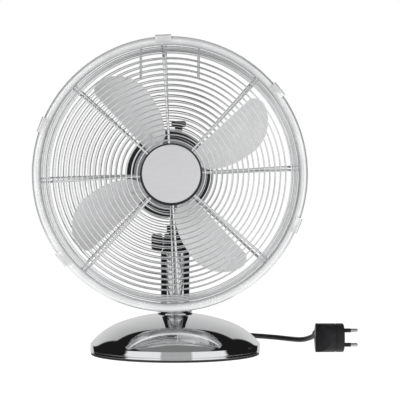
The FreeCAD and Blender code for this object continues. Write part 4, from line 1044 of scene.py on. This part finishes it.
def badge_cup():
    """Cup behind the badge, with a rounded lip; its black is painted shade round the disc."""
    edge = badge_front - 1.2
    outline = [(0, badge_back), (badge_r - 1, badge_back), (badge_r, badge_back + 1), (badge_r, edge - 1.9)]
    outline += bend((badge_r - 1.6, edge - 1.6), 1.6, 0, 80, 8)
    outline += [(badge_r - 2.2, edge - 0.4), (0, edge - 0.6)]
    return moved(soften(lathe(outline, 160), 0.2, 2, 40), HEAD)


def badge_plate():
    """Plain domed badge disc with a turned edge, set a little high in its cup."""
    outer, back = badge_disc_r, badge_front - 2.2
    face_r = (outer ** 2 + badge_crown ** 2) / (2 * badge_crown)
    lip = degrees(acos((outer - 1.4) / face_r))
    outline = [(0, back), (outer, back), (outer, badge_front - badge_crown - 0.5)]
    outline += bend((0, badge_front - face_r), face_r, lip, 90, 24)
    disc = soften(lathe(outline, 160), 0.15, 2, 40)
    return moved(disc, HEAD @ Matrix.Translation((0, badge_rise, 0)))


def rear_plate():
    """Pressed centre plate of the rear grille, with a raised bead."""
    low, high, hole_r = bell_front, bell_front + rear_plate_t, snout_r + 0.05
    outline = [(hole_r, low), (rear_plate_r, low), (rear_plate_r, high)]
    outline += bend((37, high - 1.1), 1.5, 30, 150, 8) + [(hole_r, high)]
    return moved(soften(lathe(outline, 128), 0.3, 3, 50), HEAD)


def guard_nut():
    """Ring nut that clamps the rear grille to the motor, with finger notches."""
    low, hole_r = bell_front + rear_plate_t, snout_r + 0.05
    high = low + guard_nut_l
    outline = [(hole_r, low + 0.05), (guard_nut_r, low + 0.05), (guard_nut_r, high - 1.5)]
    outline += bend((guard_nut_r - 1.5, high - 1.5), 1.5, 0, 90, 5) + [(hole_r, high)]
    notch = rod(2, (guard_nut_r + 0.8, 0, low - 1), (guard_nut_r + 0.8, 0, high + 1), 20)
    return moved(grooved(lathe(outline, 120), notch, 12), HEAD)


# ======================================================================= blades
def polar(radius, angle):
    """Point (x, y) at a radius and an angle in degrees."""
    return radius * cos(radians(angle)), radius * sin(radians(angle))


def arc_through(start, middle, end, steps):
    """Points after start, up to end, on the circle through three points."""
    start, middle, end = (Vector((*point, 0)) for point in (start, middle, end))
    near, far = middle - start, end - start
    normal = near.cross(far)
    across = far.length_squared * normal.cross(near) + near.length_squared * far.cross(normal)
    centre = start + across / (2 * normal.length_squared)
    sweep = (start - centre).angle(middle - centre) + (middle - centre).angle(end - centre)
    turn = Matrix.Rotation(sweep / steps * (1 if normal.z > 0 else -1), 3, "Z")
    points, arm = [], start - centre
    for _ in range(steps):
        arm = turn @ arm
        points.append((centre + arm).xy)
    return points


def blade_outline():
    """Straight leading edge, then three arcs round the tip and along the trailing edge."""
    root, *corners, heel = [polar(*corner) for corner in blade_corners]
    outline = [root, corners[0]]
    for start, bulge, end, steps in zip(corners, blade_bulges, corners[1:], (8, 14, 12)):
        outline += arc_through(start, polar(*bulge), end, steps)
    return outline + [heel]


def camber_height(y, layer):
    """Height of the pitched, dished sheet over a point; layer 0 is its front face."""
    lean = radians(blade_pitch)
    radius = blade_camber_r + layer
    reach = y + blade_camber_r * sin(lean)
    return blade_front + blade_camber_r * cos(lean) - sqrt(radius ** 2 - reach ** 2)


def pressed_sheet(outline, thickness, layer, step=3.0):
    """Lays a flat outline on the blades' curved surface and gives it its thickness behind."""
    bm = bmesh.new()
    bm.faces.new([bm.verts.new((x, y, 0)) for x, y in outline])
    low, high = min(y for x, y in outline), max(y for x, y in outline)
    for k in range(1, int((high - low) / step)):
        bmesh.ops.bisect_plane(bm, geom=bm.verts[:] + bm.edges[:] + bm.faces[:],
                               plane_co=(0, low + step * k, 0), plane_no=(0, 1, 0))
    for k in range(1, 16):
        bmesh.ops.bisect_plane(bm, geom=bm.verts[:] + bm.edges[:] + bm.faces[:],
                               plane_co=(10 * k, 0, 0), plane_no=(1, 0, 0))
    for vert in bm.verts:
        vert.co.z = camber_height(vert.co.y, layer)
    bmesh.ops.recalc_face_normals(bm, faces=bm.faces)
    if sum(face.normal.z for face in bm.faces) < 0:
        bmesh.ops.reverse_faces(bm, faces=bm.faces)
    raised = bmesh.ops.extrude_face_region(bm, geom=bm.faces[:])
    for vert in (v for v in raised["geom"] if isinstance(v, bmesh.types.BMVert)):
        vert.co.z = camber_height(vert.co.y, layer + thickness)
    bmesh.ops.recalc_face_normals(bm, faces=bm.faces)
    return bm


def fan_blades():
    """All the blades, pitched and dished, with rounded edges."""
    blade = soften(pressed_sheet(blade_outline(), blade_t, 0), 0.35, 3, 50)
    return moved(fanned(blade, blade_count, blade_mid), HEAD)


def spider_outline():
    """One arm of the spider, from inside the hub to its rounded end."""
    root, turn = hub_r - 3, arm_end - arm_corner_r
    outline = [(root, arm_low), (turn, arm_low)]
    outline += bend((turn, arm_low + arm_corner_r), arm_corner_r, -90, 0, 8)[1:]
    return outline + bend((turn, arm_high - arm_corner_r), arm_corner_r, 0, 90, 8) + [(root, arm_high)]


def blade_spider():
    """Hub with four arms riveted behind the blades."""
    arm = soften(pressed_sheet(spider_outline(), arm_t, blade_t + 0.02), 0.3, 2, 50)
    arms = fanned(arm, blade_count, blade_mid)
    outline = [(hub_bore_r, hub_back), (hub_r, hub_back), (hub_r, hub_front), (hub_bore_r, hub_front)]
    return moved(joined([arms, soften(lathe(outline, 64), 0.6, 3, 50)]), HEAD)


def blade_rivets():
    """Round-headed rivets on both faces of each blade's root."""
    rivets = []
    for x, y in rivet_places:
        lean = asin((y + blade_camber_r * sin(radians(blade_pitch))) / blade_camber_r)
        for layer, side in ((0, 1), (blade_t + arm_t, -1)):
            dome = [(3.4, -0.15), (3.4, 0.15)] + bend((0, -3.6), 4.9, 50, 90, 6)[1:]
            head = lathe(dome[:-1] + [(0, 1.1), (0, -0.15)], 28)
            if side < 0:
                bmesh.ops.scale(head, vec=(1, 1, -1), verts=head.verts)
                bmesh.ops.recalc_face_normals(head, faces=head.faces)
            seat = Matrix.Translation((x, y, camber_height(y, layer))) @ Matrix.Rotation(lean, 4, "X")
            rivets.append(moved(head, seat))
    return moved(fanned(joined(rivets), blade_count, blade_mid), HEAD)


def hub_nut():
    """Domed nut on the end of the shaft."""
    low, cap_r, dome_r = hub_front, 6.3, 6.96
    hexagon = soften(rod(7.5, (0, 0, low), (0, 0, low + 6), 6), 0.4, 2, 40)
    dome = bend((0, low + 10 - dome_r), dome_r, degrees(acos(cap_r / dome_r)), 90, 10)
    cap = lathe([(0, low + 5.5), (cap_r, low + 5.5)] + dome, 48)
    grub = rod(2.0, (4.2, 0, hub_back + 4), (hub_r - 0.5, 0, hub_back + 4), 16)
    return moved(joined([hexagon, cap, grub]), HEAD)


# ======================================================================= mains lead
def coil_points():
    """Turns of the put-away lead, two side by side and three high, each a diameter from the next.

    Every change of place is finished before the lead meets its own earlier change again."""
    points = []
    for k in range(1, int(coil_changes[-1][0] / coil_step)):
        angle = k * coil_step
        before, after = next(pair for pair in zip(coil_changes, coil_changes[1:]) if angle < pair[1][0])
        way = (angle - before[0]) / (after[0] - before[0])
        radius = coil_mean_r + cord_r * (before[1] + (after[1] - before[1]) * way)
        height = cord_r * (1 + 2 * (before[2] + (after[2] - before[2]) * way))
        points.append((coil_x - radius * cos(radians(angle)), coil_y + radius * sin(radians(angle)), height))
    return points


def mains_cord():
    """The whole lead as one round curve through its chosen points."""
    route = run_points + tuple(coil_points()) + end_points
    line = bpy.data.curves.new("mains_cord", "CURVE")
    line.dimensions = "3D"
    line.bevel_depth = cord_r * MM
    line.bevel_resolution = 5
    line.use_fill_caps = True
    line.resolution_u = 6
    spline = line.splines.new("NURBS")
    spline.points.add(len(route) - 1)
    for point, place in zip(spline.points, route):
        point.co = (*(Vector(place) * MM), 1)
    spline.order_u = 3
    spline.use_endpoint_u = True
    line.materials.append(sheath)
    cord = bpy.data.objects.new("mains_cord", line)
    bpy.context.scene.collection.objects.link(cord)
    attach(cord, "root")
    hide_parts("mains_cord_run", "mains_cord_coil", "mains_cord_end")
    return cord


def cable_gland():
    """Tapered strain relief with grooves, and its flange against the band."""
    wall = sqrt(base_r ** 2 - (abs(gland_x) - gland_r - 2) ** 2)
    flange, neck_r = wall + 0.1, gland_r - 0.05
    outline = [(0, wall - 12), (neck_r, wall - 12), (neck_r, flange), (gland_r + 2, flange)]
    outline += bend((gland_r + 0.6, flange + 1.4), 1.4, 0, 80, 5)
    start, length = flange + 3, relief_end - flange - 3
    for k in range(gland_ribs):
        low = start + length * (k + 0.35) / (gland_ribs + 0.4)
        top_r = gland_r + 0.5 - (gland_r - cord_r - 0.5) * (low - start) / length
        outline += [(top_r, low), (top_r - 0.9, low + 0.25), (top_r - 0.9, low + 1.3),
                    (top_r - 0.25, low + 1.55)]
    outline += bend((cord_r + 0.4, relief_end - 0.6), 0.6, 0, 90, 4)
    outline += [(cord_r - 0.2, relief_end), (0, relief_end - 1)]
    turn = Matrix.Translation((gland_x, 0, gland_z)) @ Matrix.Rotation(-pi / 2, 4, "X")
    return moved(soften(lathe(outline, 48), 0.15, 2, 40), turn)


def pin_heights():
    """Heights of the two pins above the table, one over the other."""
    return plug_r - pin_spacing / 2, plug_r + pin_spacing / 2


def plug_seat(x, z):
    """Lays +Z along the plug's pins, at a place on its middle plane."""
    return Matrix.Translation((x, plug_y, z)) @ Matrix.Rotation(pi / 2, 4, "Y")


def plug_relief():
    """Ribbed strain relief that the lead leaves the plug through."""
    start, end = plug_y + 8, plug_y + plug_r + plug_relief_l
    top_r, low_r = plug_relief_r, plug_relief_r - 1.3
    outline = [(0, start), (top_r, start), (top_r, end - 27.5)]
    for k in range(plug_ribs - 1, -1, -1):
        low = end - 7 - plug_rib_pitch * k
        outline += [(top_r, low), (low_r, low + 0.2), (low_r, low + 1.5), (top_r, low + 1.7)]
    outline += [(top_r, end - 3.5), (cord_r + 1.4, end - 0.4), (cord_r + 1.0, end), (0, end - 0.5)]
    seat = Matrix.Translation((plug_x + plug_cord_x, 0, plug_r)) @ Matrix.Rotation(-pi / 2, 4, "X")
    return moved(soften(lathe(outline, 56), 0.25, 2, 40), seat)


def mains_plug():
    """Angled plug on its side: round contact face, chamfered hood and ribbed strain relief."""
    front = plug_x + plug_l
    face = front - plug_face_l
    disc = bend((plug_r - 1.6, front - 1.6), 1.6, 90, 0, 5)
    disc += [(plug_r, face + 9), (plug_r - 0.5, face + 8.6), (plug_r - 0.5, face + 7.6), (plug_r, face + 7.2)]
    disc += bend((plug_r - 1.2, face + 1.2), 1.2, 0, -90, 4)
    body = lathe([(0, front)] + disc + [(0, face)], 96)
    body = moved(body, plug_seat(0, plug_r))
    corners = [(face + 1, plug_y - plug_r), (plug_x + 0.8, plug_y - 1.8), (plug_x, plug_y),
               (plug_x, plug_y + plug_r), (face + 1, plug_y + plug_r)]
    limit = rod(plug_r, (plug_x - 1, plug_y, plug_r), (front, plug_y, plug_r), 96)
    hood = soften(cut_away(plate(corners, 0, 2 * plug_r), [limit], "INTERSECT"), 1.1, 3, 32)
    holes = [rod(pin_r + 0.6, (front - 2, plug_y, z), (front + 1, plug_y, z), 24) for z in pin_heights()]
    return joined([cut_away(body, holes), hood, plug_relief()])


def plug_pins():
    """Round contact pins: a sheathed root and a bare, rounded tip."""
    outline = [(0, 0), (pin_r, 0), (pin_r, pin_l + 4.4)] + bend((pin_r - 1.6, pin_l + 4.4), 1.6, 0, 90, 6)
    outline.append((0, pin_l + 6))
    return joined([moved(lathe(outline, 32), plug_seat(plug_x + plug_l - 6, z)) for z in pin_heights()])


def pin_sleeves():
    """Insulating sleeves on the roots of the pins."""
    outer = pin_r + 0.28
    outline = [(pin_r, -1.8), (outer, -1.8), (outer, 9.4), (pin_r + 0.1, 9.8), (pin_r, 9.8)]
    return joined([moved(lathe(outline, 32), plug_seat(plug_x + plug_l, z)) for z in pin_heights()])


# ======================================================================= putting the fan together
def add_base():
    """Base, stem and the hinge that tilts the neck."""
    add_piece("base_dome", base_cover(), chrome, "root", ["base_cover"])
    add_piece("foot_ring", foot_ring(), foot_rubber, "root", ["rubber_foot_ring"])
    add_piece("stem", stem(), chrome, "root", ["stem_tube"])
    add_piece("clevis", clevis(), black_joint, "root", ["clevis_head"])
    add_piece("hinge_bolt", tilt_bolt(), zinc, "root", ["tilt_bolt"])
    add_piece("selector_knob", speed_knob(), black_knob, "speed_selector", ["speed_knob"])
    add_piece("selector_marks", position_marks(), black_knob, "root")
    add_piece("clamp_knob", tilt_knob(), black_knob, "tilt_clamp_knob", ["tilt_knob"])
    add_piece("neck_casting", neck(), black_joint, "neck", ["tilt_neck"])


def add_motor():
    """Motor cover, pull knob, and the plate and nut that hold the rear grille."""
    add_piece("motor_skin", motor_cover(), chrome, "head", ["motor_rear_cover"])
    add_piece("pull_knob_cap", pull_knob(), black_knob, "pull_knob", ["oscillation_knob"])
    add_piece("grille_plate", rear_plate(), zinc, "head", ["rear_guard_plate"])
    add_piece("ring_nut", guard_nut(), black_joint, "head", ["rear_guard_nut"])


def add_cage():
    """Both grilles with their rims, the clips and the badge."""
    front_outer, rear_outer = front_corner[0] - front_ring_inset, rear_corner[0] - rear_ring_inset
    add_piece("front_rings", guard_rings(front_bowl, front_side_rings, front_outer), wire_chrome,
              "head", ["front_guard_rings"])
    front_wires = guard_spokes(front_bowl, badge_r - weld, front_roll)
    add_piece("front_spokes", moved(front_wires, HEAD), wire_chrome, "head", ["front_guard_spokes"])
    rear_wires = joined([guard_spokes(rear_bowl, rear_plate_r - 5, rear_roll), rear_braces()])
    add_piece("rear_rings", guard_rings(rear_bowl, rear_side_rings, rear_outer), wire_chrome,
              "head", ["rear_guard_rings"])
    add_piece("rear_spokes", moved(rear_wires, HEAD), wire_chrome, "head", ["rear_guard_spokes"])
    add_piece("front_band", front_band(), rim_chrome, "head", ["front_guard_band"])
    add_piece("rear_rim", rear_rim(), wire_chrome, "head", ["rear_guard_rim"])
    for k, angle in enumerate(clip_angles, 1):
        add_piece(f"rim_clip_{k}", guard_clip(angle), strip_chrome, f"clip_{k}",
                  [f"guard_clip_{k}"])
    add_piece("rim_lock_screw", lock_screw(), zinc, "head", ["guard_lock_screw"])
    # cup in painted shade black, for the shadow round the badge disc
    add_piece("badge_backing", badge_cup(), cup_black_painted_shade, "head", ["badge_cup"])
    add_piece("badge_disc", badge_plate(), badge_satin, "head", ["badge_plate"])


def add_blades():
    """Blades with their spider, rivets and nut."""
    add_piece("blades", fan_blades(), blade_satin, "rotor", ["fan_blades"])
    add_piece("spider", blade_spider(), cast_alloy, "rotor", ["blade_spider"])
    add_piece("rivets", blade_rivets(), blade_satin, "rotor", ["blade_rivets"])
    add_piece("shaft_nut", hub_nut(), zinc, "rotor", ["hub_fasteners"])


def add_lead():
    """Mains lead with its strain relief and its plug."""
    add_piece("strain_relief", cable_gland(), plug_black, "root", ["cable_gland"])
    plug = add_piece("plug_body", mains_plug(), plug_black, "root", ["mains_plug"])
    pins = add_piece("plug_contacts", plug_pins(), nickel, "root", ["plug_pins"])
    sleeves = add_piece("plug_sleeves", pin_sleeves(), plug_black, "root")
    mains_cord()


def finish_inner_parts():
    """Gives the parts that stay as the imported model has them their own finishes."""
    finishes = {
        zinc: ("bottom_plate", "bottom_plate_screws", "stem_tie_rod", "motor_screws", "motor_shaft", "worm",
               "gear_spindle", "swivel_post", "crank_disc"),
        cast_iron: ("ballast_weight",),
        white_can: ("run_capacitor",),
        black_joint: ("speed_switch", "crank_link"),
        bronze: ("swivel_bush", "shaft_bushes"),
        cast_alloy: ("motor_rear_bell", "gearbox_case", "gearbox_lid"),
        painted_alloy: ("motor_front_bell",),
        laminations: ("stator_core", "rotor_core"),
        copper: ("stator_windings",),
        pale_nylon: ("worm_wheel", "crank_gear"),
    }
    for finish, names in finishes.items():
        for name in names:
            for slot in nodes[name].material_slots:
                slot.material = finish


# ======================================================================= floor, light and camera
def white_floor():
    """White floor with a glow of its own, so that its edges vanish in the white round it."""
    bm = bmesh.new()
    bmesh.ops.create_grid(bm, x_segments=1, y_segments=1, size=floor_half)
    floor = laid_out("studio_floor", bm)
    paint, _, shader = new_finish("studio_white", (0.3, 0.3, 0.3), 0.0, 0.9)
    shader.inputs["Emission Color"].default_value = (1, 1, 1, 1)
    shader.inputs["Emission Strength"].default_value = floor_glow
    floor.data.materials.append(paint)
    floor.visible_glossy = False


def worked(tree, operation, first, second=0.0):
    """One step of arithmetic on a value, with a number or another value."""
    step = tree.nodes.new("ShaderNodeMath")
    step.operation = operation
    tree.links.new(first, step.inputs[0])
    if isinstance(second, float):
        step.inputs[1].default_value = second
    else:
        tree.links.new(second, step.inputs[1])
    return step.outputs[0]


def room_brightness(tree):
    """A bright back wall, low white panels in front, a pale table below and a dark room above."""
    where = tree.nodes.new("ShaderNodeTexCoord")
    split = tree.nodes.new("ShaderNodeSeparateXYZ")
    tree.links.new(where.outputs["Generated"], split.inputs[0])
    aside = worked(tree, "ABSOLUTE", split.outputs["X"])
    climb = worked(tree, "ARCTAN2", worked(tree, "ABSOLUTE", split.outputs["Z"]), split.outputs["Y"])
    wall = worked(tree, "MULTIPLY", between(tree, climb, *wall_glow), between(tree, climb, *wall_top))
    canopy = worked(tree, "MULTIPLY", between(tree, climb, *canopy_start), between(tree, climb, *canopy_end))
    behind = worked(tree, "MAXIMUM", wall, canopy)
    middle = worked(tree, "MULTIPLY", behind, between(tree, aside, *middle_edge))
    wings = worked(tree, "MULTIPLY", between(tree, aside, *wing_glow), between(tree, aside, *wing_edge))
    front = worked(tree, "MULTIPLY", wings, between(tree, climb, *wing_top))
    table = between(tree, split.outputs["Z"], *table_glow)
    brightest = worked(tree, "MAXIMUM", worked(tree, "MAXIMUM", middle, front), table)
    return worked(tree, "ADD", brightest, dark_room)


def studio_world():
    """Plain white behind the fan, and the room only where it is reflected or lights something."""
    world = bpy.data.worlds.new("studio_room")
    bpy.context.scene.world = world
    world.use_nodes = True
    tree = world.node_tree
    tree.nodes.clear()
    seen = tree.nodes.new("ShaderNodeLightPath")
    pick = tree.nodes.new("ShaderNodeMix")
    light = tree.nodes.new("ShaderNodeBackground")
    out = tree.nodes.new("ShaderNodeOutputWorld")
    pick.inputs["B"].default_value = 1.0
    light.inputs["Color"].default_value = (1, 1, 1, 1)
    tree.links.new(seen.outputs["Is Camera Ray"], pick.inputs["Factor"])
    tree.links.new(room_brightness(tree), pick.inputs["A"])
    tree.links.new(pick.outputs["Result"], light.inputs["Strength"])
    tree.links.new(light.outputs["Background"], out.inputs["Surface"])


def soft_box(name, place, width, height, power):
    """Rectangular lamp turned to the fan, left out of reflections."""
    lamp = bpy.data.lights.new(name, "AREA")
    lamp.shape = "RECTANGLE"
    lamp.size, lamp.size_y = width, height
    lamp.energy = power
    box = bpy.data.objects.new(name, lamp)
    box.location = place
    box.visible_glossy = False
    box.rotation_euler = (Vector(fan_middle) - Vector(place)).to_track_quat("-Z", "Y").to_euler()
    bpy.context.scene.collection.objects.link(box)


def front_camera():
    """Long lens in front of the fan, a little to the left and at the height of its hub."""
    lens = bpy.data.cameras.new("front_camera")
    lens.lens, lens.sensor_width = camera_lens, 36
    camera = bpy.data.objects.new("front_camera", lens)
    round_by = radians(camera_round)
    camera.location = camera_place
    ahead = Vector((sin(round_by), cos(round_by), -tan(radians(camera_down))))
    camera.rotation_euler = ahead.to_track_quat("-Z", "Y").to_euler()
    bpy.context.scene.collection.objects.link(camera)
    bpy.context.scene.camera = camera


add_base()
add_motor()
add_cage()
add_blades()
add_lead()
finish_inner_parts()
white_floor()
studio_world()
soft_box("key_box", place=(-0.8, -1.9, 0.9), width=1.4, height=1.0, power=21)
soft_box("fill_box", place=(0.7, -1.9, 0.1), width=1.4, height=0.8, power=16)
front_camera()
bpy.context.scene.view_settings.view_transform = "Standard"
